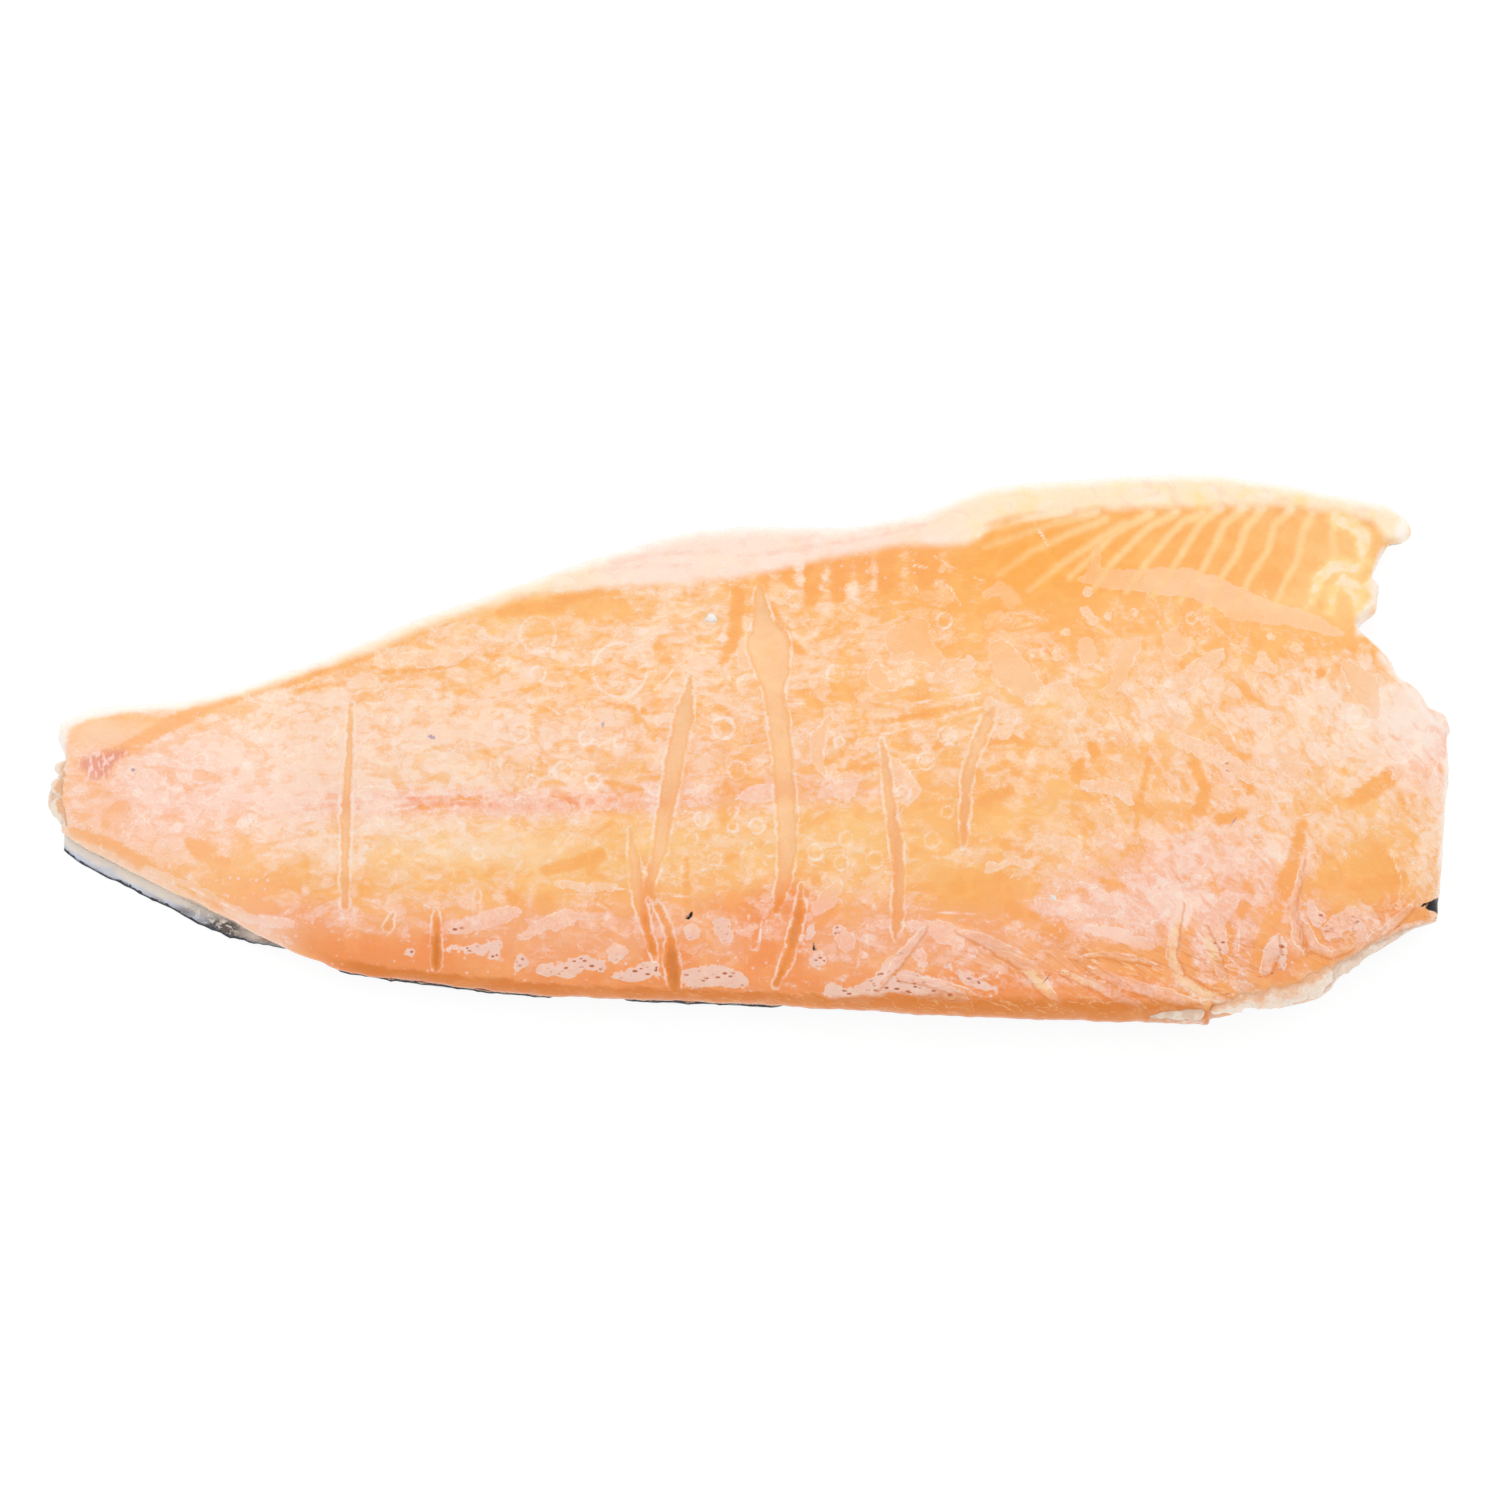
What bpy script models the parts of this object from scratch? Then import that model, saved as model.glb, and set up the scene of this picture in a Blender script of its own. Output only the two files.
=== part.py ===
"""A side of salmon with its skin on, lying skin down with the cut flesh up.

X runs along the fish, from the tail at -X to the shoulder at +X. The belly edge is at +Y and the back
edge at -Y. Z is up, and the origin is on the resting surface, under the middle of the side.
All sizes are in metres.
"""

import math
from bisect import bisect_right

import bmesh
import bpy
from mathutils import Vector
from mathutils.geometry import interpolate_bezier

COLLECTION_NAME = "salmon_side"

# Outline seen from above, as corners of smooth curves. Each curve starts where its neighbour ends.
TAIL_BACK = (-0.2365, -0.0349)
TAIL_BELLY = (-0.2384, 0.0086)
SHOULDER_BACK = (0.2350, -0.0610)
SHOULDER_BELLY = (0.2288, 0.0814)
BACK_EDGE = (
    TAIL_BACK, (-0.2271, -0.0415), (-0.2081, -0.0509), (-0.1779, -0.0657), (-0.1512, -0.0737),
    (-0.1321, -0.0794), (-0.0711, -0.0869), (-0.0075, -0.0897), (0.0838, -0.0951), (0.1267, -0.0962),
    (0.1533, -0.0972), (0.1575, -0.0946), (0.1646, -0.0939), (0.1677, -0.0912), (0.1770, -0.0917),
    (0.1893, -0.0899), (0.1969, -0.0854), (0.2004, -0.0813), (0.2052, -0.0784), (0.2111, -0.0742),
    (0.2191, -0.0690), (0.2267, -0.0648), SHOULDER_BACK,
)
BELLY_EDGE = (
    TAIL_BELLY, (-0.2300, 0.0129), (-0.2210, 0.0146), (-0.2072, 0.0155), (-0.1940, 0.0168),
    (-0.1778, 0.0207), (-0.1620, 0.0258), (-0.1386, 0.0345), (-0.1110, 0.0468), (-0.0845, 0.0560),
    (-0.0340, 0.0731), (-0.0030, 0.0779), (0.0285, 0.0780), (0.0466, 0.0799), (0.0640, 0.0845),
    (0.0850, 0.0922), (0.1190, 0.0951), (0.1570, 0.0969), (0.1860, 0.0929), (0.2018, 0.0900),
    (0.2133, 0.0874), (0.2223, 0.0851), SHOULDER_BELLY,
)
TAIL_CUT = (
    TAIL_BACK, (-0.2368, -0.0258), (-0.2398, -0.0223), (-0.2410, -0.0185), (-0.2405, -0.0143),
    (-0.2384, -0.0105), (-0.2373, -0.0065), (-0.2357, -0.0033), (-0.2378, 0.0006), (-0.2389, 0.0049),
    TAIL_BELLY,
)
SHOULDER_CUT = (
    SHOULDER_BACK, (0.2372, -0.0436), (0.2388, -0.0243), (0.2404, -0.0114), (0.2398, 0.0008),
    (0.2409, 0.0040), (0.2395, 0.0093), (0.2347, 0.0114), (0.2320, 0.0153), (0.2290, 0.0190),
    (0.2243, 0.0222), (0.2214, 0.0282), (0.2170, 0.0336), (0.2127, 0.0378), (0.2107, 0.0415),
    (0.2139, 0.0446), (0.2168, 0.0473), (0.2178, 0.0524), (0.2181, 0.0564), (0.2161, 0.0603),
    (0.2202, 0.0679), (0.2225, 0.0717), (0.2262, 0.0724), (0.2290, 0.0737), (0.2300, 0.0773),
    SHOULDER_BELLY,
)

# Height of the flesh along the fish, where its section is thickest.
THICKNESS = (
    (-0.240, 0.0100),
    (-0.190, 0.0145),
    (-0.130, 0.0200),
    (-0.060, 0.0250),
    (0.030, 0.0285),
    (0.120, 0.0295),
    (0.200, 0.0275),
    (0.240, 0.0245),
)

# Height across the fish as a share of that thickness, from the back edge (0) to the belly edge (1).
TAIL_SECTION = ((0.00, 0.80), (0.22, 0.98), (0.50, 1.00), (0.78, 0.90), (1.00, 0.66))
BODY_SECTION = (
    (0.00, 0.76),
    (0.10, 0.93),
    (0.24, 1.00),
    (0.46, 0.93),
    (0.62, 0.80),
    (0.76, 0.55),
    (0.88, 0.37),
    (1.00, 0.27),
)
TAIL_SECTION_END = -0.220
BODY_SECTION_START = -0.020

SKIN_THICKNESS = 0.0012
GAP = 0.0003

# The skin turns up round the back, as far as this share of the local thickness.
BACK_TURN_REACH = 0.013
BACK_TURN_HEIGHT = 0.56
BACK_TURN_SHARE = 0.16
BELLY_LIFT = 0.0016
BELLY_LIFT_START = 0.93

# The cut faces are a little round: the top and the skin stop short of the outline, by these amounts.
TOP_INSET = 0.0026
SKIN_INSET = 0.0006
CUT_ROUNDING_REACH = 0.016
CUT_ROUNDING_SHARE = 0.20

# Faces of the grid along the fish, across it, and up its sides. They are closer near the edges.
ALONG_FACES = 72
ACROSS_FACES = 22
FLESH_SIDE_FACES = 3
SKIN_SIDE_FACES = 1
EDGE_CROWDING = 0.07
CURVE_STEPS = 24

FLESH_COLOUR = (0.93, 0.50, 0.20, 1.0)
FLESH_ROUGHNESS = 0.25
SKIN_COLOUR = (0.24, 0.26, 0.28, 1.0)
SKIN_ROUGHNESS = 0.35
SKIN_METALLIC = 0.3


def smooth_curve(corners):
    """Close points along a smooth curve through the corners, and the curve's length up to each."""
    knots = [Vector((x, y, 0.0)) for x, y in corners]
    padded = [knots[0], *knots, knots[-1]]
    points = [knots[0]]
    for before, start, end, after in zip(padded, padded[1:], padded[2:], padded[3:]):
        leaving = start + (end - before) / 6
        arriving = end - (after - start) / 6
        points += interpolate_bezier(start, leaving, arriving, end, CURVE_STEPS)[1:]
    lengths = [0.0]
    for start, end in zip(points, points[1:]):
        lengths.append(lengths[-1] + (end - start).length)
    return points, lengths


BACK_CURVE = smooth_curve(BACK_EDGE)
BELLY_CURVE = smooth_curve(BELLY_EDGE)
TAIL_CURVE = smooth_curve(TAIL_CUT)
SHOULDER_CURVE = smooth_curve(SHOULDER_CUT)


def point_on(curve, share):
    """The point at this share of the curve's length."""
    points, lengths = curve
    wanted = share * lengths[-1]
    index = min(max(bisect_right(lengths, wanted), 1), len(points) - 1)
    step = lengths[index] - lengths[index - 1]
    return points[index - 1].lerp(points[index], (wanted - lengths[index - 1]) / step)


def eased(stations, place):
    """The value at this place, on a smooth line through stations of (place, value)."""
    places = [station[0] for station in stations]
    values = [station[1] for station in stations]
    place = min(max(place, places[0]), places[-1])
    slopes = []
    for index in range(len(stations)):
        before = max(index - 1, 0)
        after = min(index + 1, len(stations) - 1)
        slopes.append((values[after] - values[before]) / (places[after] - places[before]))
    index = min(max(bisect_right(places, place), 1), len(places) - 1)
    span = places[index] - places[index - 1]
    t = (place - places[index - 1]) / span
    rise = values[index] - values[index - 1]
    start_bend = slopes[index - 1] * span - rise
    end_bend = rise - slopes[index] * span
    return values[index - 1] + t * rise + t * (1 - t) * ((1 - t) * start_bend + t * end_bend)


def smooth_step(start, end, place):
    """0 before start, 1 after end, and a smooth rise between."""
    t = min(max((place - start) / (end - start), 0.0), 1.0)
    return t * t * (3 - 2 * t)


def plan(along, across):
    """A place inside the outline: a patch between its four curves. Along and across run from 0 to 1."""
    sides = point_on(BACK_CURVE, along).lerp(point_on(BELLY_CURVE, along), across)
    ends = point_on(TAIL_CURVE, across).lerp(point_on(SHOULDER_CURVE, across), along)
    tail_end = Vector((*TAIL_BACK, 0.0)).lerp(Vector((*TAIL_BELLY, 0.0)), across)
    shoulder_end = Vector((*SHOULDER_BACK, 0.0)).lerp(Vector((*SHOULDER_BELLY, 0.0)), across)
    return sides + ends - tail_end.lerp(shoulder_end, along)


def width_at(along):
    return (point_on(BELLY_CURVE, along) - point_on(BACK_CURVE, along)).length


def inset(along, across, amount):
    """The same place, in an outline that is smaller by this amount all round."""
    length_share = amount / BACK_CURVE[1][-1]
    width_share = amount / width_at(along)
    return (
        length_share + along * (1 - 2 * length_share),
        width_share + across * (1 - 2 * width_share),
    )


def top_of_flesh(along, across):
    """The cut face of the flesh: thick by the back, thin at the belly, and lower towards both cuts."""
    along, across = inset(along, across, TOP_INSET)
    place = plan(along, across)
    body = smooth_step(TAIL_SECTION_END, BODY_SECTION_START, place.x)
    tail_share = eased(TAIL_SECTION, across)
    share = tail_share + body * (eased(BODY_SECTION, across) - tail_share)
    end_distance = min(along, 1 - along) * BACK_CURVE[1][-1]
    nearness = 1 - min(end_distance / CUT_ROUNDING_REACH, 1.0)
    share *= 1 - CUT_ROUNDING_SHARE * nearness * nearness
    place.z = share * eased(THICKNESS, place.x)
    return place


def outer_skin(along, around):
    """The outer face of the skin. It turns up round the back, runs flat, and lifts at the belly edge."""
    turn_width = BACK_TURN_REACH / width_at(along)
    height = 0.0
    if around < BACK_TURN_SHARE:
        angle = math.pi / 2 * around / BACK_TURN_SHARE
        across = turn_width * (1 - math.cos(angle))
        height = BACK_TURN_HEIGHT * (1 - math.sin(angle))
    else:
        flat_share = (around - BACK_TURN_SHARE) / (1 - BACK_TURN_SHARE)
        across = turn_width + (1 - turn_width) * flat_share
    along, across = inset(along, across, SKIN_INSET)
    place = plan(along, across)
    place.z = height * eased(THICKNESS, place.x)
    place.z += BELLY_LIFT * smooth_step(BELLY_LIFT_START, 1.0, across)
    return place


def inside_skin(along, around, depth):
    """The place that lies this deep inside the skin's outer face."""
    step = 0.001
    further_along = outer_skin(min(along + step, 1.0), around)
    nearer_along = outer_skin(max(along - step, 0.0), around)
    further_around = outer_skin(along, min(around + step, 1.0))
    nearer_around = outer_skin(along, max(around - step, 0.0))
    inward = (further_along - nearer_along).cross(further_around - nearer_around)
    return outer_skin(along, around) + depth * inward.normalized()


def place_skin(along, across, up):
    return inside_skin(along, across, up * SKIN_THICKNESS)


def place_flesh(along, across, up):
    """The flesh lies on the skin, and its sides bulge out to the outline between the skin and the top."""
    bottom = inside_skin(along, across, SKIN_THICKNESS + GAP)
    if up == 0.0:
        return bottom
    top = top_of_flesh(along, across)
    place = bottom.lerp(top, up)
    bulge = 4 * up * (1 - up)
    place.xy = place.xy.lerp(plan(along, across).xy, bulge)
    return place


def crowded(share):
    """Moves grid lines towards both ends."""
    return share - EDGE_CROWDING * math.sin(2 * math.pi * share)


def bent_block(name, side_faces, place, material):
    """A block of grid faces, one unit each way, bent to shape by place(along, across, up)."""
    shape = bmesh.new()
    bmesh.ops.create_grid(shape, x_segments=ALONG_FACES, y_segments=ACROSS_FACES, size=0.5)
    bmesh.ops.translate(shape, verts=shape.verts, vec=(0.5, 0.5, 0.0))
    raised = bmesh.ops.extrude_face_region(shape, geom=shape.faces[:])
    raised_corners = [item for item in raised["geom"] if isinstance(item, bmesh.types.BMVert)]
    bmesh.ops.translate(shape, verts=raised_corners, vec=(0.0, 0.0, 1.0))
    if side_faces > 1:
        uprights = [edge for edge in shape.edges if edge.verts[0].co.z != edge.verts[1].co.z]
        bmesh.ops.subdivide_edges(shape, edges=uprights, cuts=side_faces - 1, use_grid_fill=True)
    for corner in shape.verts:
        along, across, up = corner.co
        corner.co = place(crowded(along), crowded(across), up)
    bmesh.ops.recalc_face_normals(shape, faces=shape.faces[:])

    mesh = bpy.data.meshes.new(name)
    shape.to_mesh(mesh)
    shape.free()
    mesh.shade_smooth()
    mesh.materials.append(material)
    piece = bpy.data.objects.new(name, mesh)
    bpy.data.collections[COLLECTION_NAME].objects.link(piece)
    return piece


def plain_material(name, colour, roughness, metallic=0.0):
    material = bpy.data.materials.new(name)
    material.use_nodes = True
    shader = material.node_tree.nodes["Principled BSDF"]
    shader.inputs["Base Color"].default_value = colour
    shader.inputs["Roughness"].default_value = roughness
    shader.inputs["Metallic"].default_value = metallic
    return material


for leftover in list(bpy.data.objects):
    bpy.data.objects.remove(leftover, do_unlink=True)
bpy.context.scene.collection.children.link(bpy.data.collections.new(COLLECTION_NAME))

flesh_material = plain_material("flesh", FLESH_COLOUR, FLESH_ROUGHNESS)
skin_material = plain_material("skin", SKIN_COLOUR, SKIN_ROUGHNESS, SKIN_METALLIC)
bent_block("flesh", FLESH_SIDE_FACES, place_flesh, flesh_material)
bent_block("skin", SKIN_SIDE_FACES, place_skin, skin_material)
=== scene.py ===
import math

import bpy
import numpy as np
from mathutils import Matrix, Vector, noise


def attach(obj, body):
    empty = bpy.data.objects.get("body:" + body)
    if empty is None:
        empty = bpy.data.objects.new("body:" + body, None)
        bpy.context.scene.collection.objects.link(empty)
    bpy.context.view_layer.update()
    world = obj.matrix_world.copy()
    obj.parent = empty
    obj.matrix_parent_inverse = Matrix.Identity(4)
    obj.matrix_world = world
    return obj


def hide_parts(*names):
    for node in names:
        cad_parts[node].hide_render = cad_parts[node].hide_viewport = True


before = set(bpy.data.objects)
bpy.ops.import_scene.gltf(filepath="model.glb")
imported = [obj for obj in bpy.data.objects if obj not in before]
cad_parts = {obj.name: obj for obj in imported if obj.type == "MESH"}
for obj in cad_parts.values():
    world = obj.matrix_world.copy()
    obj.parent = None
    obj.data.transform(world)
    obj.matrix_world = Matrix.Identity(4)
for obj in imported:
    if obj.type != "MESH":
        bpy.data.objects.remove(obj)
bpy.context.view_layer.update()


# Camera
# It looks down on the fillet from the side of its back edge, ten degrees off straight above.
# The picture is 1500 pixels wide and high, and one pixel is about a third of a millimetre on the fillet.
PICTURE_SIZE = 1500
PIXEL = 0.00034335
MILLIMETRE = 0.001
PIXEL_IN_MM = PIXEL / MILLIMETRE
CAMERA_DISTANCE = 2.0
CAMERA_TILT = math.radians(10)
AIM = np.array((0.0003, -0.0025, 0.016))
SENSOR_WIDTH = 36.0

FORWARD = np.array((0.0, math.sin(CAMERA_TILT), -math.cos(CAMERA_TILT)))
UPWARD = np.array((0.0, math.cos(CAMERA_TILT), math.sin(CAMERA_TILT)))
EYE = AIM - CAMERA_DISTANCE * FORWARD

lens = bpy.data.cameras.new("camera")
lens.sensor_width = SENSOR_WIDTH
lens.lens = SENSOR_WIDTH * CAMERA_DISTANCE / (PICTURE_SIZE * PIXEL)
camera = bpy.data.objects.new("camera", lens)
camera.location = EYE
camera.rotation_euler = (CAMERA_TILT, 0.0, 0.0)
bpy.context.scene.collection.objects.link(camera)
bpy.context.scene.camera = camera
bpy.context.scene.view_settings.view_transform = "Standard"


def picture_place(points):
    """Where points in the scene are in the picture: pixels from its left and from its top."""
    away = points - EYE
    depth = away @ FORWARD
    right = away[..., 0] * CAMERA_DISTANCE / depth
    up = (away @ UPWARD) * CAMERA_DISTANCE / depth
    middle = PICTURE_SIZE / 2
    return middle + right / PIXEL, middle - up / PIXEL


# Flesh
# One side of muscle, cut flat along the bones, with a pale fat edge at the belly. It is under a thin
# clear glaze of ice: the glaze has long creases, rings left by bubbles, and frost that lies in flat flecks.
TAIL_BACK = (-0.2365, -0.0349)
TAIL_BELLY = (-0.2384, 0.0086)
SHOULDER_BACK = (0.2350, -0.0610)
SHOULDER_BELLY = (0.2288, 0.0814)
BACK_EDGE = (
    TAIL_BACK, (-0.2271, -0.0415), (-0.2081, -0.0509), (-0.1779, -0.0657), (-0.1512, -0.0737),
    (-0.1321, -0.0794), (-0.0711, -0.0869), (-0.0075, -0.0897), (0.0838, -0.0951), (0.1267, -0.0962),
    (0.1533, -0.0972), (0.1575, -0.0946), (0.1646, -0.0939), (0.1677, -0.0912), (0.1770, -0.0917),
    (0.1893, -0.0899), (0.1969, -0.0854), (0.2004, -0.0813), (0.2052, -0.0784), (0.2111, -0.0742),
    (0.2191, -0.0690), (0.2267, -0.0648), SHOULDER_BACK,
)
BELLY_EDGE = (
    TAIL_BELLY, (-0.2300, 0.0129), (-0.2210, 0.0146), (-0.2072, 0.0155), (-0.1940, 0.0168),
    (-0.1778, 0.0207), (-0.1620, 0.0258), (-0.1386, 0.0345), (-0.1110, 0.0468), (-0.0845, 0.0560),
    (-0.0340, 0.0731), (-0.0030, 0.0779), (0.0285, 0.0780), (0.0466, 0.0799), (0.0640, 0.0845),
    (0.0850, 0.0922), (0.1190, 0.0951), (0.1570, 0.0969), (0.1860, 0.0929), (0.2018, 0.0900),
    (0.2133, 0.0874), (0.2223, 0.0851), SHOULDER_BELLY,
)
TAIL_CUT = (
    TAIL_BACK, (-0.2368, -0.0258), (-0.2398, -0.0223), (-0.2410, -0.0185), (-0.2405, -0.0143),
    (-0.2384, -0.0105), (-0.2373, -0.0065), (-0.2357, -0.0033), (-0.2378, 0.0006), (-0.2389, 0.0049),
    TAIL_BELLY,
)
SHOULDER_CUT = (
    SHOULDER_BACK, (0.2372, -0.0436), (0.2388, -0.0243), (0.2404, -0.0114), (0.2398, 0.0008),
    (0.2409, 0.0040), (0.2395, 0.0093), (0.2347, 0.0114), (0.2320, 0.0153), (0.2290, 0.0190),
    (0.2243, 0.0222), (0.2214, 0.0282), (0.2170, 0.0336), (0.2127, 0.0378), (0.2107, 0.0415),
    (0.2139, 0.0446), (0.2168, 0.0473), (0.2178, 0.0524), (0.2181, 0.0564), (0.2161, 0.0603),
    (0.2202, 0.0679), (0.2225, 0.0717), (0.2262, 0.0724), (0.2290, 0.0737), (0.2300, 0.0773),
    SHOULDER_BELLY,
)
CURVE_STEPS = 24

# Height along the fish, and its share from the back edge (0) to the belly edge (1).
THICKNESS = (
    (-0.240, 0.0100), (-0.190, 0.0145), (-0.130, 0.0200), (-0.060, 0.0250),
    (0.030, 0.0285), (0.120, 0.0295), (0.200, 0.0275), (0.240, 0.0245),
)
TAIL_SECTION = ((0.00, 0.80), (0.22, 0.98), (0.50, 1.00), (0.78, 0.90), (1.00, 0.66))
BODY_SECTION = (
    (0.00, 0.76), (0.10, 0.93), (0.24, 1.00), (0.46, 0.93),
    (0.62, 0.80), (0.76, 0.55), (0.88, 0.37), (1.00, 0.27),
)
TAIL_SECTION_END = -0.220
BODY_SECTION_START = -0.020

BACK_ROUNDING = 0.0085
BELLY_ROUNDING = 0.0038
TAIL_ROUNDING = 0.0035
SHOULDER_ROUNDING = 0.0045
BACK_RIM_ROWS = 10
THIN_RIM_ROWS = 6
MIDDLE_ROWS = 150
MIDDLE_COLUMNS = 458
WALL_ROWS = 8

# Below its widest line, which is this share of the thickness up, the flesh turns in onto the skin.
BACK_WAIST = 0.62
PLAIN_WAIST = 0.45
BACK_REACH = 0.020
CUT_TUCK = 0.0010

# The skin: it turns up round the back, but near the tail it only lies there, wider than the flesh.
SKIN_THICKNESS = 0.0012
GAP = 0.0003
SKIN_TURN_REACH = 0.013
SKIN_TURN_SHARE = 0.50
SKIN_TURN_INSET = 0.0021
SKIN_PEEK = 0.0006
PEEK_EASE = 0.008
SKIN_PEEKS = ((-0.146, -0.062), (-0.048, 0.016))
TAIL_FLARE_HEIGHT = 0.0008
TAIL_FLARE_WIDTH = 0.0052
TAIL_FLARE_END = (-0.186, -0.146)


def smooth_curve(corners):
    """Close points along a smooth curve through the corners, and the share of its length up to each."""
    knots = np.array(corners)
    padded = np.vstack([knots[:1], knots, knots[-1:]])
    t = np.linspace(0.0, 1.0, CURVE_STEPS, endpoint=False)[:, None]
    runs = []
    for before, start, end, after in zip(padded, padded[1:], padded[2:], padded[3:]):
        leaving = start + (end - before) / 6
        arriving = end - (after - start) / 6
        near_start = (1 - t) ** 2 * ((1 - t) * start + 3 * t * leaving)
        near_end = t**2 * (3 * (1 - t) * arriving + t * end)
        runs.append(near_start + near_end)
    points = np.vstack([*runs, knots[-1:]])
    steps = np.hypot(*np.diff(points, axis=0).T)
    lengths = np.concatenate([[0.0], np.cumsum(steps)])
    return points, lengths / lengths[-1]


def point_on(curve, share):
    points, shares = curve
    return np.stack([np.interp(share, shares, points[:, axis]) for axis in (0, 1)], axis=-1)


def smooth_step(start, end, place):
    """0 before start, 1 after end, and a smooth rise between."""
    t = np.clip((place - start) / (end - start), 0.0, 1.0)
    return t * t * (3 - 2 * t)


def eased(stations, place):
    """The value at each place, on a smooth line through stations of (place, value)."""
    places, values = np.array(stations).T
    slopes = np.gradient(values, places, edge_order=1)
    place = np.clip(place, places[0], places[-1])
    index = np.clip(np.searchsorted(places, place, side="right"), 1, len(places) - 1)
    span = places[index] - places[index - 1]
    t = (place - places[index - 1]) / span
    rise = values[index] - values[index - 1]
    start_bend = slopes[index - 1] * span - rise
    end_bend = rise - slopes[index] * span
    return values[index - 1] + t * rise + t * (1 - t) * ((1 - t) * start_bend + t * end_bend)


back_curve = smooth_curve(BACK_EDGE)
belly_curve = smooth_curve(BELLY_EDGE)
tail_curve = smooth_curve(TAIL_CUT)
shoulder_curve = smooth_curve(SHOULDER_CUT)
FISH_LENGTH = np.hypot(*np.diff(back_curve[0], axis=0).T).sum()


def plan(along, across):
    """Places inside the outline, which is a patch between its four curves."""
    along_part = along[..., None]
    across_part = across[..., None]
    sides = point_on(back_curve, along) * (1 - across_part) + point_on(belly_curve, along) * across_part
    ends = point_on(tail_curve, across) * (1 - along_part) + point_on(shoulder_curve, across) * along_part
    tail_end = np.array(TAIL_BACK) * (1 - across_part) + np.array(TAIL_BELLY) * across_part
    shoulder_end = np.array(SHOULDER_BACK) * (1 - across_part) + np.array(SHOULDER_BELLY) * across_part
    return sides + ends - tail_end * (1 - along_part) - shoulder_end * along_part


def width_at(along):
    return np.hypot(*(point_on(belly_curve, along) - point_on(back_curve, along)).T).T


def raised(places, height):
    """Places in the plan, together with their heights."""
    return np.concatenate([places, height[..., None]], axis=-1)


def tail_flare(x):
    """1 near the tail, where the skin lies wider than the flesh, and 0 beyond."""
    return 1 - smooth_step(*TAIL_FLARE_END, x)


def lip_width(along):
    """How far the skin lies outside the flesh at the back edge."""
    return TAIL_FLARE_WIDTH * tail_flare(point_on(back_curve, along)[..., 0])


def height_share(along, across):
    """Height of the cut face as a share of the local thickness."""
    x = plan(along, across)[..., 0]
    body = smooth_step(TAIL_SECTION_END, BODY_SECTION_START, x)
    tail_share = eased(TAIL_SECTION, across)
    return tail_share + body * (eased(BODY_SECTION, across) - tail_share)


def rim_distances(rounding, rows):
    """Distances from an edge of rows that follow a quarter turn, without its last row."""
    turn = np.linspace(0.0, math.pi / 2, rows + 1)[:-1]
    return rounding * (1 - np.cos(turn))


def rounded(distance, rounding):
    """Rises from 0 at an edge to 1 at the end of its quarter turn."""
    return np.sqrt(1 - (1 - np.clip(distance / rounding, 0.0, 1.0)) ** 2)


def flesh_grid():
    """Shares along and across for every corner of the cut face, closer together at its rims."""
    tail_rim = rim_distances(TAIL_ROUNDING, THIN_RIM_ROWS) / FISH_LENGTH
    shoulder_rim = 1 - rim_distances(SHOULDER_ROUNDING, THIN_RIM_ROWS)[::-1] / FISH_LENGTH
    middle = np.linspace(TAIL_ROUNDING / FISH_LENGTH, 1 - SHOULDER_ROUNDING / FISH_LENGTH, MIDDLE_COLUMNS)
    along = np.concatenate([tail_rim, middle, shoulder_rim])
    width = width_at(along)
    lip = lip_width(along)
    from_back = lip[:, None] + rim_distances(BACK_ROUNDING, BACK_RIM_ROWS)
    from_belly = width[:, None] - rim_distances(BELLY_ROUNDING, THIN_RIM_ROWS)[::-1]
    first = (lip + BACK_ROUNDING)[:, None]
    last = (width - BELLY_ROUNDING)[:, None]
    between = first + (last - first) * np.linspace(0.0, 1.0, MIDDLE_ROWS)
    distances = np.concatenate([from_back, between, from_belly], axis=1)
    return np.broadcast_to(along[:, None], distances.shape), distances / width[:, None]


def flesh_top(along, across):
    """The cut face with round rims, before its relief, and how far each corner is from the rims."""
    width = width_at(along)
    place = plan(along, across)
    lip = lip_width(along)
    back_distance = across * width - lip
    belly_distance = (1 - across) * width
    tail_distance = along * FISH_LENGTH
    shoulder_distance = (1 - along) * FISH_LENGTH
    ends = rounded(tail_distance, TAIL_ROUNDING) * rounded(shoulder_distance, SHOULDER_ROUNDING)
    rims = ends * rounded(back_distance, BACK_ROUNDING) * rounded(belly_distance, BELLY_ROUNDING)
    thickness = eased(THICKNESS, place[..., 0])
    full = thickness * height_share(along, across)
    waist = waist_height(full, back_distance)
    height = waist + (full - waist) * rims
    nearest = np.minimum.reduce([back_distance, belly_distance, tail_distance, shoulder_distance])
    return raised(place, height), nearest


def waist_height(full, back_distance):
    """Height of the widest line of the flesh: higher at the back, where the skin turns up under it."""
    share = BACK_WAIST + (PLAIN_WAIST - BACK_WAIST) * smooth_step(0.0, BACK_REACH, back_distance)
    low = SKIN_THICKNESS + GAP
    return low + share * (full - low)


def skin_turn(x):
    """The turned-up part of the skin at x: its height, and its distance inside the outline."""
    flare = tail_flare(x)
    height = SKIN_TURN_SHARE * eased(THICKNESS, x) * TAIL_SECTION[0][1]
    height += flare * (TAIL_FLARE_HEIGHT - height)
    inset = SKIN_TURN_INSET * (1 - flare)
    for start, end in SKIN_PEEKS:
        share = smooth_step(start, start + PEEK_EASE, x) * (1 - smooth_step(end - PEEK_EASE, end, x))
        inset = inset - share * (inset + SKIN_PEEK)
    return height, inset


def loop_round(grid):
    """The border of a grid, anticlockwise seen from above, without its first corner again."""
    return np.concatenate([grid[:, 0], grid[-1, 1:], grid[-2::-1, -1], grid[0, -2:0:-1]])


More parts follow.
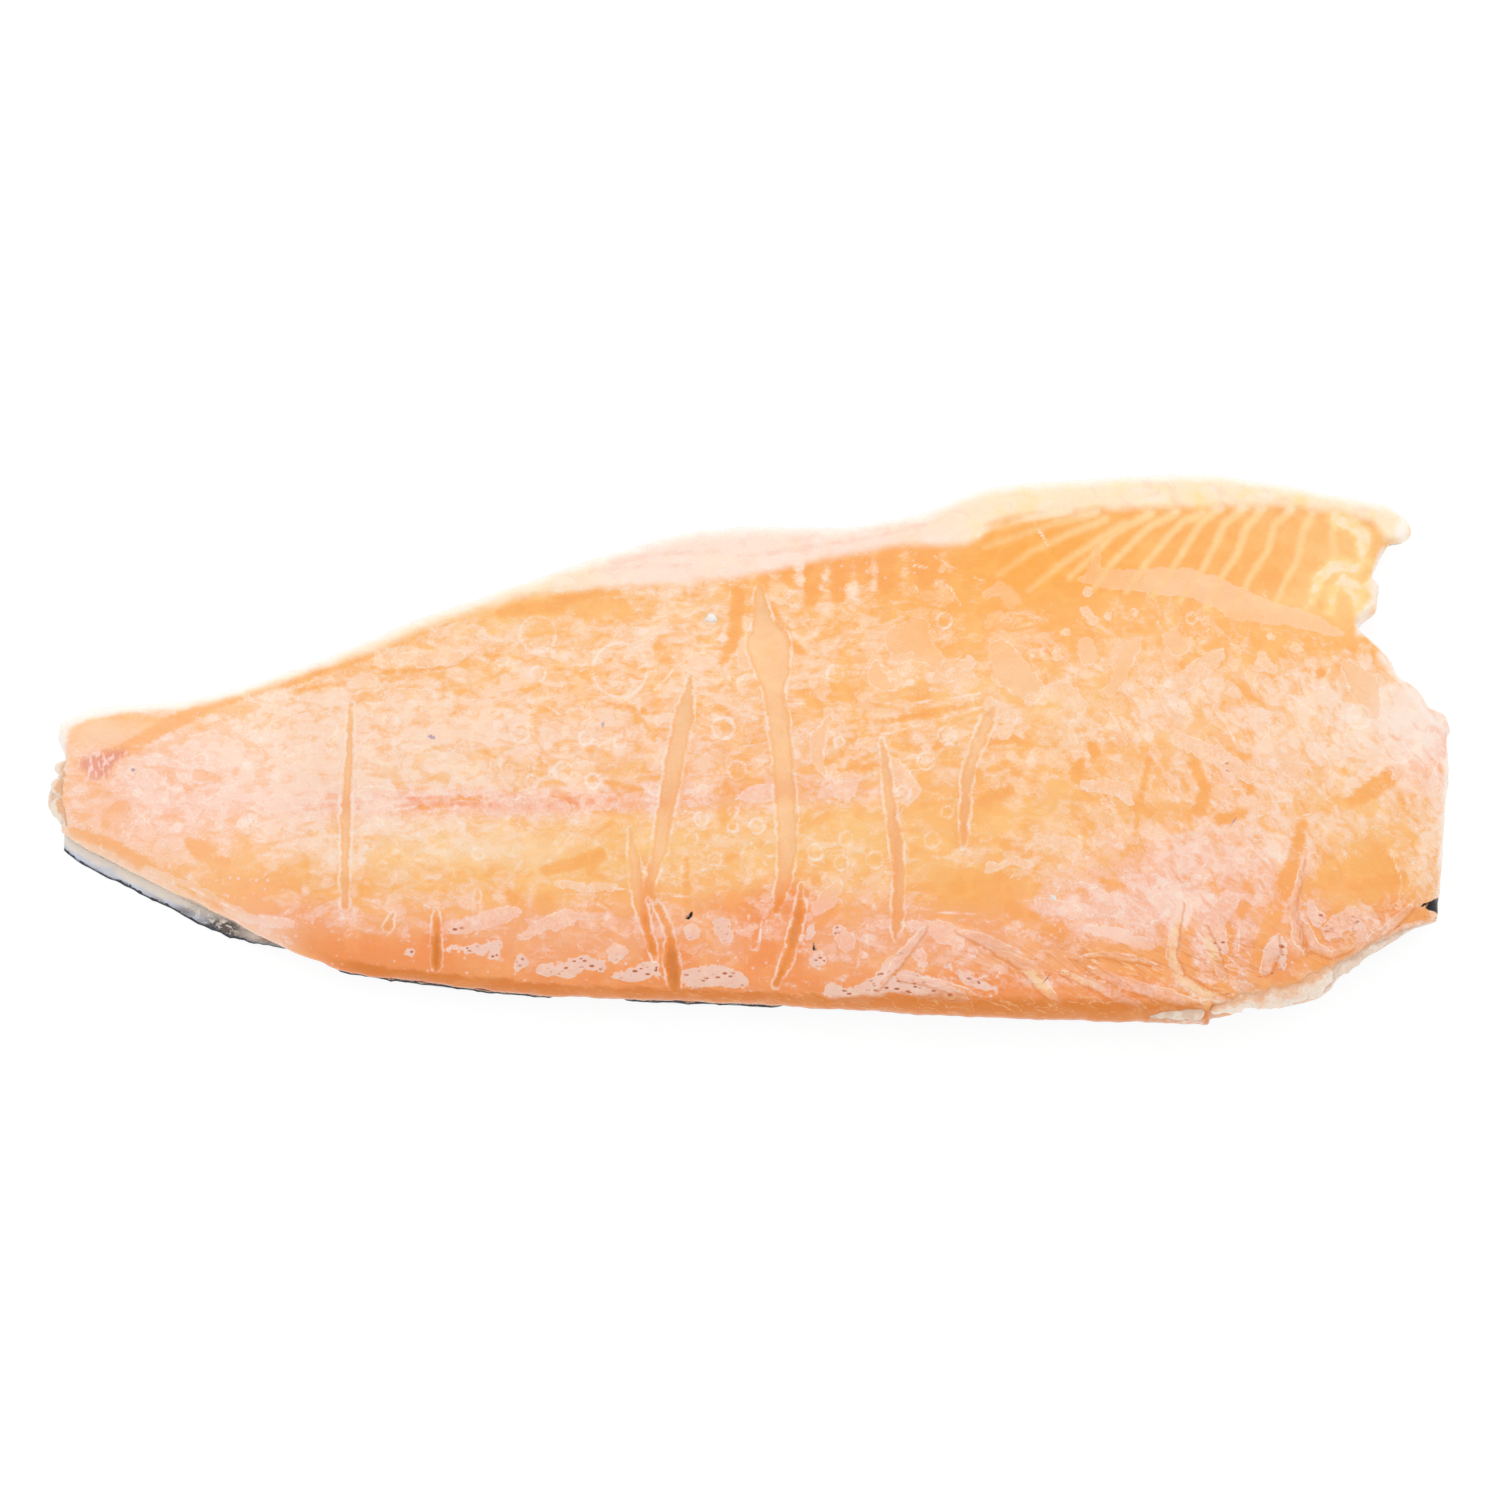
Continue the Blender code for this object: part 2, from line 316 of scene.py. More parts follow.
def flesh_wall(along, across, ring_share):
    """One ring of the wall below the widest line, at this share of the way down to the skin."""
    width = width_at(along)
    x = plan(along, across)[..., 0]
    lip = lip_width(along)
    turn_height, turn_inset = skin_turn(x)
    angle = ring_share * math.pi / 2
    clearance = SKIN_THICKNESS + GAP
    back_tuck = turn_inset + SKIN_TURN_REACH * (1 - math.cos(angle)) + clearance * math.cos(angle)
    back_tuck = np.maximum(back_tuck - lip, CUT_TUCK * ring_share)
    back_height = turn_height * (1 - math.sin(angle)) + clearance * math.sin(angle)
    plain_tuck = CUT_TUCK * math.sin(angle)

    back_distance = across * width - lip
    full = eased(THICKNESS, x) * height_share(along, across)
    waist = waist_height(full, back_distance)
    plain_height = waist + (clearance - waist) * ring_share
    nearness = 1 - smooth_step(0.0, BACK_REACH, back_distance)
    height = plain_height + nearness * (np.minimum(back_height, waist) - plain_height)

    start = (lip + back_tuck) / width
    end = 1 - plain_tuck / width
    across = start + (across - lip / width) / (1 - lip / width) * (end - start)
    end_share = plain_tuck / FISH_LENGTH
    along = end_share + along * (1 - 2 * end_share)
    return raised(plan(along, across), height)


def rough_values(points, size, seed):
    """Smooth noise from -1 to 1 at each point, with lumps of this size in metres."""
    shift = Vector((seed * 7.3, seed * 3.1, seed * 5.7))
    return np.array([noise.noise(Vector(point) / size + shift) for point in points])


def bar_distance(x, y, bar_start, bar_end):
    """Pixels to a tapering bar between two spots of (x, y, half-width), negative inside it."""
    x0, y0, start = bar_start
    x1, y1, end = bar_end
    squared = max((x1 - x0) ** 2 + (y1 - y0) ** 2, 1e-9)
    t = np.clip(((x - x0) * (x1 - x0) + (y - y0) * (y1 - y0)) / squared, 0.0, 1.0)
    return np.hypot(x - x0 - t * (x1 - x0), y - y0 - t * (y1 - y0)) - start - t * (end - start)


def nearest_chain(x, y, chains):
    """Pixels to the nearest chain of spots joined by tapering bars, negative inside it."""
    bars = [bar for chain in chains for bar in zip(chain, chain[1:] or chain)]
    return np.minimum.reduce([bar_distance(x, y, *bar) for bar in bars])


def nearest_fold(x, y, folds):
    """Pixels to the nearest fold's edge, and from its middle line, negative on its upper or left side."""
    nearest = np.full(x.shape, np.inf)
    lean = np.zeros(x.shape)
    for start, end in (bar for fold in folds for bar in zip(fold, fold[1:])):
        run_x = end[0] - start[0]
        run_y = end[1] - start[1]
        aside = (run_x * (y - start[1]) - run_y * (x - start[0])) / math.hypot(run_x, run_y)
        edge = bar_distance(x, y, start, end)
        lean = np.where(edge < nearest, aside, lean)
        nearest = np.minimum(nearest, edge)
    return nearest, lean


def nearest_ring(x, y, rings):
    """Pixels to the line of the nearest ring of (x, y, radius)."""
    gaps = [np.hypot(x - ring_x, y - ring_y) - radius for ring_x, ring_y, radius in rings]
    return np.minimum.reduce(np.abs(gaps))


def tapered(line, start, end):
    """The chain along a line of (x, y) whose half-width runs from start to end."""
    return [(x, y, width) for (x, y), width in zip(line, np.linspace(start, end, len(line)))]


def stains(x, y, spots):
    """Sum of soft oval spots of (x, y, reach across, reach down, strength)."""
    total = np.zeros(x.shape)
    for spot_x, spot_y, reach_x, reach_y, strength in spots:
        total += strength * np.exp(-(((x - spot_x) / reach_x) ** 2) - ((y - spot_y) / reach_y) ** 2)
    return total


# Marks of the cut face, where the camera sees them: chains of spots of (x, y, half-width), in pixels
# from the picture's left and top.
MARKS = {
    # Long creases in the glaze, which run across the fish.
    "crease": (
        ((351, 704, 1.5), (349, 760, 4), (346, 803, 4.5), (345, 860, 4), (345, 907, 3)),
        ((691, 676, 1.5), (684, 717, 9), (676, 755, 9), (666, 806, 8), (660, 849, 7), (648, 888, 4)),
        ((630, 829, 0.5), (635, 865, 6), (640, 903, 5), (647, 930, 4), (655, 958, 2)),
        ((648, 888, 2), (665, 920, 2.5), (671, 943, 4), (672, 965, 8), (675, 986, 5)),
        ((759, 589, 3), (762, 618, 9), (768, 645, 22), (772, 668, 17), (774, 694, 10), (779, 725, 10),
         (783, 760, 10), (786, 806, 10), (788, 849, 9), (784, 879, 7), (777, 910, 3)),
        ((801, 885, 0.5), (800, 908, 5), (795, 935, 6), (788, 957, 5), (776, 984, 3)),
        ((882, 740, 1), (889, 793, 5), (897, 849, 6), (899, 880, 5), (897, 925, 5), (895, 940, 1)),
        ((436, 909, 0.5), (437, 932, 4), (436, 968, 4)), ((477, 891, 0.5), (477, 905, 1.5), (476, 922, 1)),
        ((393, 914, 0.5), (388, 927, 3.5)),
        ((995, 703, 0.5), (988, 720, 6), (979, 740, 6.5), (968, 772, 5), (964, 820, 4), (964, 848, 1)),
    ),
    # Flat films of smooth, clear glaze.
    "film": (
        ((1080, 579, 2), (1104, 579, 9), (1150, 581, 12), (1190, 583, 14), (1218, 592, 15), (1240, 606, 15),
         (1262, 611, 12), (1290, 616, 8), (1322, 626, 7), (1342, 634, 2)),
        ((1098, 545, 1), (1096, 560, 4), (1092, 576, 7)),
        ((145, 870, 3), (190, 885, 4), (225, 905, 4), (250, 918, 4), (290, 924, 5)),
        ((900, 640, 15), (917, 630, 12)), ((915, 640, 12), (936, 660, 8)),
        ((1000, 652, 12), (1013, 672, 17), (1032, 690, 12)),
        ((832, 714, 1), (817, 738, 7), (818, 760, 6), (828, 780, 1)),
        ((876, 664, 4), (877, 676, 9), (884, 684, 7)), ((987, 594, 3), (1001, 587, 5)),
        ((1009, 594, 7), (1012, 600, 9)), ((1086, 647, 8), (1088, 656, 8)),
        ((1140, 638, 3), (1128, 655, 8), (1117, 682, 7), (1110, 692, 5)), ((1172, 638, 9), (1180, 646, 9)),
        ((1350, 668, 8), (1366, 690, 14), (1372, 712, 8)), ((745, 645, 7), (744, 662, 6)),
        ((838, 886, 5), (828, 900, 9), (816, 911, 5)), ((1090, 928, 4), (1120, 936, 7), (1150, 945, 5)),
    ),
    # Patches of white frost, full of pores by the back.
    "frost": (
        ((398, 661, 5), (420, 657, 9), (448, 660, 8), (463, 655, 4)),
        ((390, 697, 8), (410, 694, 6), (430, 698, 8), (424, 707, 6)),
        ((352, 795, 9), (385, 796, 10), (409, 803, 7)),
        ((490, 806, 8), (520, 806, 10), (551, 809, 11), (562, 808, 8)), ((586, 803, 8), (611, 802, 8)),
        ((462, 810, 10),), ((468, 790, 7.5),), ((390, 723, 8.5),), ((462, 749, 7),), ((371, 742, 8),),
        ((452, 931, 5), (475, 923, 8), (498, 915, 8), (517, 911, 4)),
        ((522, 938, 3), (545, 925, 8), (565, 918, 8), (585, 916, 3)),
        ((450, 948, 3), (480, 950, 5), (497, 944, 5), (493, 957, 6)), ((521, 960, 5.5), (518, 967, 4)),
        ((540, 970, 4), (565, 971, 7), (583, 962, 7), (600, 967, 5)), ((617, 953, 9),),
        ((617, 976, 4), (640, 973, 8), (655, 970, 8)), ((690, 978, 9), (715, 976, 11), (742, 981, 7)),
        ((831, 990, 8), (853, 996, 8), (878, 990, 8)),
        ((924, 930, 4), (905, 951, 5), (884, 972, 6), (870, 985, 4)),
        ((888, 985, 8), (905, 984, 12), (928, 988, 12), (952, 995, 7), (972, 1001, 3)), ((818, 961, 8.5),),
        ((691.5, 932, 8),), ((865, 957, 5),), ((411, 951, 5),), ((973, 953, 5.5),),
        ((920, 955, 6), (922, 966, 5)), ((722, 926, 8), (726, 935, 8)), ((811, 930, 6.5), (809, 938, 4)),
        ((838, 930, 7), (848, 944, 7)), ((880, 924, 3), (915, 923, 4), (944, 932, 9), (957, 941, 8)),
        ((946, 967, 3), (968, 978, 5), (995, 990, 4)), ((690, 786, 4), (702, 792, 8), (706, 802, 3)),
        ((738, 797, 2), (752, 794, 8), (768, 792, 9)), ((906, 668, 7.5),), ((968, 663, 8),),
        ((948, 676, 6),), ((812, 681, 4),), ((1086, 612, 5), (1093, 622, 4)), ((1108, 618, 5),),
        ((1135, 615, 4),), ((1065, 632, 4.5),), ((1055, 652, 5), (1056, 658, 4)),
        ((1261, 655, 3), (1261, 665, 8), (1273, 668, 4)), ((1296, 648, 4.5),), ((1271, 638, 4.5),),
        ((1087, 591, 5),), ((1168, 690, 7), (1198, 673, 12), (1222, 652, 4)),
        ((1153, 683, 4), (1163, 700, 7), (1180, 716, 5)), ((1030, 700, 5), (1060, 690, 9), (1080, 705, 8)),
        ((990, 705, 7), (1012, 715, 7), (1005, 735, 6)), ((1180, 740, 8), (1215, 755, 10), (1250, 775, 8)),
        ((1290, 700, 5), (1310, 720, 9), (1322, 745, 6)), ((1270, 745, 9), (1290, 760, 12), (1300, 780, 7)),
        ((1400, 770, 10), (1425, 765, 12), (1435, 790, 8)),
        ((1085, 785, 5), (1120, 790, 9), (1130, 802, 5)), ((1040, 840, 6), (1075, 845, 8)),
        ((1230, 900, 10), (1215, 925, 10), (1222, 950, 7)),
        ((1270, 955, 6), (1278, 945, 10), (1283, 965, 5)),
        ((1330, 930, 9), (1350, 918, 10), (1362, 935, 6)), ((1310, 905, 6), (1318, 920, 8)),
        ((1110, 905, 12), (1145, 915, 12), (1165, 900, 8)), ((1040, 905, 6), (1075, 912, 7)),
        ((880, 757, 4), (905, 775, 7), (912, 790, 8), (905, 803, 4)),
        ((832, 787, 4), (845, 789, 12), (855, 780, 6)), ((990, 866, 5), (1015, 861, 4), (1032, 864, 3)),
        ((560, 883, 3), (590, 888, 4), (615, 886, 3)), ((200, 760, 7),), ((240, 730, 9),), ((262, 735, 6),),
        ((280, 700, 8),), ((330, 730, 8),), ((140, 820, 6),), ((152, 775, 5), (165, 790, 4)),
    ),
    # Streaks and windows of clear glaze, where the muscle shows its full colour.
    "streak": (
        ((1302, 822, 4), (1296, 851, 7), (1285, 885, 8), (1275, 912, 7), (1264, 937, 7), (1256, 962, 5)),
        ((877, 722, 2), (920, 715, 3), (980, 702, 1.5)), ((840, 770, 1.5), (880, 765, 2)),
        ((985, 745, 3), (1010, 738, 4), (1030, 745, 2)), ((604, 702, 1.5), (622, 707, 3), (645, 712, 2)),
        ((104, 757, 5), (130, 748, 7), (165, 727, 7), (212, 704, 5), (300, 679, 3), (372, 654, 2)),
        ((72, 832, 4), (105, 842, 6), (150, 868, 6)), ((188, 842, 4), (200, 850, 10), (225, 864, 5)),
        ((763, 574, 4), (763, 590, 5)), ((787, 570, 5), (788, 580, 4)), ((812, 570, 8), (812, 600, 6)),
        ((842, 562, 8), (838, 596, 6)), ((864, 556, 4), (864, 568, 3)), ((889, 554, 7), (886, 586, 8)),
        ((930, 545, 10), (925, 575, 12)), ((738, 592, 6), (734, 640, 7), (722, 662, 4)),
        ((772, 606, 2), (782, 628, 4), (800, 652, 5)), ((560, 600, 6), (600, 592, 4)),
        ((500, 612, 5), (560, 606, 6)), ((590, 778, 2), (640, 790, 2.5)), ((686, 860, 2.5), (687, 904, 3)),
        ((385, 672, 1), (420, 670, 1.5), (455, 666, 1)), ((300, 690, 1), (345, 682, 1.5)),
        ((450, 800, 2), (480, 797, 2)), ((420, 806, 2.5), (450, 806, 2)),
        ((545, 870, 5), (580, 862, 6), (600, 855, 6), (590, 872, 3)), ((508, 893, 4), (512, 897, 6)),
        ((550, 897, 4),), ((1080, 762, 4), (1075, 775, 6)),
        ((1195, 765, 6), (1205, 790, 5), (1200, 810, 7)), ((1130, 800, 3), (1135, 808, 4)),
        ((1150, 760, 3), (1142, 790, 2.5), (1136, 833, 1.5)), ((1090, 745, 4), (1095, 752, 5)),
        ((985, 800, 6), (1010, 790, 5)), ((1392, 775, 9), (1372, 790, 9), (1352, 802, 5)),
        ((1240, 770, 6), (1250, 790, 5)), ((1320, 674, 5),), ((1060, 930, 7), (1062, 936, 6)),
        ((1015, 912, 6), (1035, 918, 4)), ((1220, 820, 5), (1245, 812, 4)), ((830, 910, 2), (820, 925, 3)),
        ((1225, 955, 6), (1218, 968, 5)), ((1192, 928, 3), (1184, 945, 5), (1186, 962, 6), (1196, 972, 3)),
        ((1310, 925, 5), (1318, 940, 6)), ((1340, 905, 4), (1330, 918, 5), (1322, 930, 4)),
        ((1245, 905, 5), (1240, 915, 4)), ((1300, 962, 4), (1320, 962, 6), (1350, 952, 4)),
        ((1222, 986, 5), (1236, 998, 3)), ((1400, 918, 5), (1424, 914, 4)),
        ((1000, 880, 8), (1010, 905, 7)), ((1045, 930, 6), (1062, 932, 5)),
        ((1090, 950, 2), (1120, 968, 5), (1165, 975, 6)), ((1150, 948, 4), (1166, 955, 7)),
        ((1200, 985, 2), (1225, 990, 4)), ((1130, 800, 3), (1150, 812, 4)),
        ((1100, 880, 3), (1120, 886, 4)), ((1212, 885, 5), (1222, 893, 4)),
        ((1245, 880, 2), (1252, 895, 3)), ((1178, 926, 2), (1184, 935, 3)),
        ((1230, 930, 4), (1228, 945, 4)), ((1350, 885, 5), (1400, 880, 8)),
    ),
    # Greyish rime on the cut end of the tail and on the back edge by the shoulder.
    "rime": (
        ((62, 764, 3), (57, 776, 5), (53, 790, 6), (53, 806, 6), (61, 820, 4)),
        ((1434, 921, 2), (1412, 930, 4), (1388, 941, 6), (1366, 956, 8), (1348, 966, 9), (1332, 977, 10),
         (1316, 991, 11), (1290, 999, 11), (1262, 1001, 9), (1240, 1004, 6), (1214, 1014, 4)),
        ((1150, 1020, 3), (1176, 1019, 5), (1200, 1021, 5)),
    ),
    # Edges so thin that they show white.
    "fringe": (
        ((62, 758, 3), (60, 742, 6), (62, 726, 7), (84, 714, 5), (120, 709, 3), (180, 703, 2.5),
         (240, 690, 2.5)),
        ((1404, 520, 4), (1400, 532, 6), (1404, 540, 3)),
        ((1383, 550, 2), (1376, 572, 3), (1374, 600, 3), (1362, 618, 5), (1360, 632, 4)),
        ((1445, 730, 3), (1430, 718, 3), (1412, 694, 2), (1380, 655, 2)),
        ((1446, 760, 3), (1446, 800, 2), (1441, 860, 2)),
    ),
    # Black specks, and the dark end of the skin at the shoulder.
    "speck": (
        ((692, 913, 1.6), (689, 918, 2.1), (685, 917, 1.2)), ((814.6, 943.5, 1.3), (814.8, 949.5, 2.0)),
        ((1420, 905, 1), (1430, 906, 4), (1440, 906, 9)),
    ),
    # Small bluish specks.
    "faint_speck": (
        ((430, 736, 2), (434, 738, 1.5)), ((603, 721, 1), (603, 726, 1.5)), ((133, 770, 2),),
        ((1257, 975, 0.6), (1281, 969, 0.6)), ((1230, 826, 0.5), (1238, 815, 0.5)),
    ),
    # A patch of blood under the glaze at the tail.
    "red_spot": (
        ((87, 764, 6), (97, 766, 12), (110, 758, 7), (124, 752, 2)),
    ),
    # Yellow fat at the belly's shoulder end, with light in it.
    "glowing_fat": (
        ((1313, 600, 2), (1318, 580, 4), (1330, 568, 5), (1345, 565, 5), (1354, 568, 4)),
        ((1330, 612, 2), (1333, 592, 3), (1343, 578, 3)),
        ((1343, 582, 4), (1355, 592, 5), (1362, 605, 7), (1364, 620, 6)),
        ((1350, 580, 2), (1362, 590, 3), (1372, 582, 4), (1376, 600, 3)),
        ((1336, 520, 5), (1352, 524, 5), (1364, 536, 6), (1362, 555, 3)),
        ((1352, 568, 2), (1364, 560, 3), (1377, 568, 2)),
    ),
    # Short reddish remains of the nerve line along the middle.
    "nerve": (
        ((396, 806, 1.5), (420, 803, 2.5), (455, 803, 2), (480, 805, 3), (500, 805, 1)),
        ((395, 799, 1), (440, 798, 2), (452, 796, 1)), ((557, 799, 1), (570, 800, 3.5), (578, 804, 2)),
        ((588, 802, 3), (594, 802, 3)), ((610, 800, 2), (616, 800, 2)), ((522, 806, 2), (530, 808, 2)),
        ((550, 806, 3),),
    ),
}
# Folds in the glaze by the back, as chains too.
FOLDS = (
    ((958, 930, 2), (985, 940, 6), (1012, 955, 7), (1040, 978, 5), (1056, 1000, 2)),
    ((998, 952, 2), (1018, 960, 4), (1040, 985, 5), (1058, 1003, 2)),
    ((1062, 972, 2), (1100, 987, 5), (1136, 1007, 5), (1154, 1018, 2)),
    ((1088, 968, 2), (1128, 985, 6), (1172, 997, 6), (1198, 1006, 4), (1214, 1013, 1)),
    ((1240, 1006, 2), (1206, 994, 5), (1180, 979, 5), (1171, 955, 5), (1175, 930, 4), (1182, 904, 1)),
    ((1150, 1012, 2), (1175, 1014, 5), (1203, 1019, 3)), ((900, 978, 2), (940, 984, 5), (980, 996, 2)),
    ((878, 988, 2), (900, 958, 4), (925, 928, 2)),
    ((1305, 955, 1), (1295, 937, 3), (1293, 905, 3), (1303, 860, 1)),
    ((1076, 958, 1), (1100, 954, 2.5), (1130, 958, 3), (1160, 966, 1)),
    ((1266, 970, 5), (1272, 952, 8), (1276, 940, 3)),
    ((1306, 925, 3), (1313, 945, 5), (1330, 955, 3), (1352, 948, 2)),
    ((1222, 975, 4), (1212, 950, 6), (1205, 930, 2)), ((1370, 940, 3), (1395, 922, 4), (1412, 905, 2)),
)
# Rings left by bubbles: x, y, radius.
RINGS = (
    (538, 674, 7.5), (478, 854, 6), (542, 769, 8), (532, 781, 6.5), (563, 771, 9), (593, 781, 7.5),
    (723, 728, 11), (757, 826, 7.5), (733, 811, 5), (733, 827, 5), (701, 819, 7), (691, 839, 6.5),
    (715, 859, 6.5), (815, 852, 8), (846, 839, 7), (841, 863, 7), (875, 860, 8.5), (737, 770, 9),
    (770, 849, 7), (839, 742, 5), (835, 674, 8), (944, 621, 7.5), (947, 736, 9), (926, 761, 8.5),
    (903, 793, 7), (947, 812, 6), (932, 840, 8), (1192, 618, 5.5), (1359, 717, 11), (1355, 712, 6),
    (620, 742, 6), (655, 790, 6), (520, 733, 9), (586, 738, 7), (620, 670, 27), (538, 634, 18),
)
# The border between muscle and belly fat, from tail to shoulder.
FAT_EDGE = (
    (40, 738), (60, 731), (85, 719), (110, 712), (145, 710), (179, 709), (212, 703), (245, 694), (281, 683),
    (319, 669), (349, 660), (372, 653), (393, 643), (429, 628), (474, 612), (505, 603), (531, 596),
    (569, 590), (611, 588), (683, 584), (754, 576), (805, 563), (843, 556), (882, 549), (920, 545),
    (945, 546), (966, 546), (981, 538), (988, 526), (1003, 519), (1040, 515), (1100, 509), (1180, 508),
    (1250, 506), (1300, 508), (1336, 512), (1372, 522), (1386, 540), (1420, 560),
)

# Lines of (x, y), after their half-widths at the start and at the end.
THIN_MARKS = {
    # Membranes between the blocks of muscle in the wall of the belly.
    "stripe": ((3.8, 2.0), (
        ((1067, 511), (1030, 519), (978, 532)), ((1095, 514), (1050, 524), (985, 547)),
        ((1105, 519), (1070, 533), (1030, 552), (998, 575)),
        ((1125, 524), (1090, 545), (1060, 565), (1029, 590)),
        ((1151, 514), (1118, 530), (1095, 553), (1069, 578)),
        ((1176, 514), (1150, 526), (1130, 545), (1110, 565), (1094, 588)),
        ((1202, 514), (1182, 522), (1165, 540), (1146, 563), (1126, 592)),
        ((1220, 509), (1203, 520), (1190, 540), (1174, 567), (1152, 596)),
        ((1243, 509), (1224, 524), (1215, 545), (1200, 574), (1180, 602)),
        ((1262, 509), (1245, 530), (1238, 552), (1220, 580), (1206, 608)),
        ((1290, 511), (1274, 525), (1268, 550), (1250, 577), (1236, 605)),
        ((1312, 516), (1303, 530), (1298, 560), (1283, 585), (1274, 608)),
        ((1336, 516), (1332, 535), (1336, 552), (1322, 580), (1305, 610)),
        ((1366, 530), (1357, 545), (1362, 560), (1350, 585)),
    )),
    # Rosy lines in the fat.
    "rose_line": ((1.2, 1.2), (
        ((745, 546), (741, 540), (748, 532), (764, 528), (784, 527)),
        ((791, 529), (812, 531), (838, 528), (862, 525), (895, 519)),
        ((738, 556), (770, 554), (800, 548), (835, 543), (880, 535), (925, 524)),
        ((850, 534), (880, 529), (905, 523)), ((640, 556), (680, 553), (720, 552)),
        ((590, 572), (640, 566), (690, 566)),
    )),
    # Thin white lines in the frost.
    "line": ((1.0, 1.0), (
        ((1031, 517), (1040, 532), (1049, 546)), ((1310, 851), (1301, 880), (1298, 915), (1303, 950)),
        ((1180, 905), (1172, 925), (1170, 948), (1176, 968), (1194, 984), (1222, 1000)),
        ((978, 735), (972, 752), (969, 775)), ((345, 707), (341, 760), (338, 800)),
        ((165, 772), (168, 800), (172, 824)), ((749, 915), (750, 948), (758, 951), (762, 920)),
        ((150, 870), (185, 886), (215, 900), (245, 915), (290, 920)),
        ((1386, 705), (1384, 735), (1392, 760)),
        ((1240, 822), (1270, 812), (1310, 815), (1345, 822), (1385, 830)),
        ((905, 905), (940, 912), (985, 915)), ((868, 925), (860, 945), (858, 970)),
        ((742, 870), (741, 855), (748, 838), (758, 852), (768, 866)), ((600, 885), (640, 893)),
        ((655, 893), (690, 897)), ((450, 860), (455, 875)), ((720, 690), (760, 705)),
        ((655, 690), (672, 672), (676, 660)), ((1240, 700), (1255, 725), (1262, 760)),
        ((1205, 700), (1225, 720), (1238, 748)), ((1110, 712), (1122, 735)),
        ((1330, 668), (1320, 690), (1302, 712)), ((1150, 830), (1190, 838), (1225, 830)),
        ((1080, 868), (1120, 880), (1165, 872)), ((1200, 860), (1235, 870), (1262, 858)),
        ((1225, 900), (1240, 920), (1238, 950)), ((1390, 850), (1402, 880), (1398, 905)),
        ((1420, 850), (1428, 880)), ((560, 690), (590, 712)), ((500, 690), (545, 705), (560, 715)),
        ((880, 735), (930, 722), (990, 705)), ((862, 700), (900, 705), (940, 700), (980, 693)),
        ((330, 705), (352, 695), (378, 683)), ((914, 565), (928, 568)),
        ((934, 556), (945, 562), (950, 572)), ((938, 578), (950, 588), (961, 605)),
        ((914, 586), (919, 592)), ((974, 577), (985, 581)),
    )),
    # Thin brown fissures by the back.
    "dark_line": ((0.5, 0.5), (
        ((1255, 978), (1268, 975), (1282, 969)), ((1128, 988), (1150, 990)), ((1042, 985), (1050, 974)),
        ((1232, 826), (1238, 815)), ((1218, 992), (1250, 997)), ((1196, 985), (1205, 990)),
        ((1395, 905), (1410, 915), (1436, 917)), ((1400, 925), (1388, 934)),
    )),
}

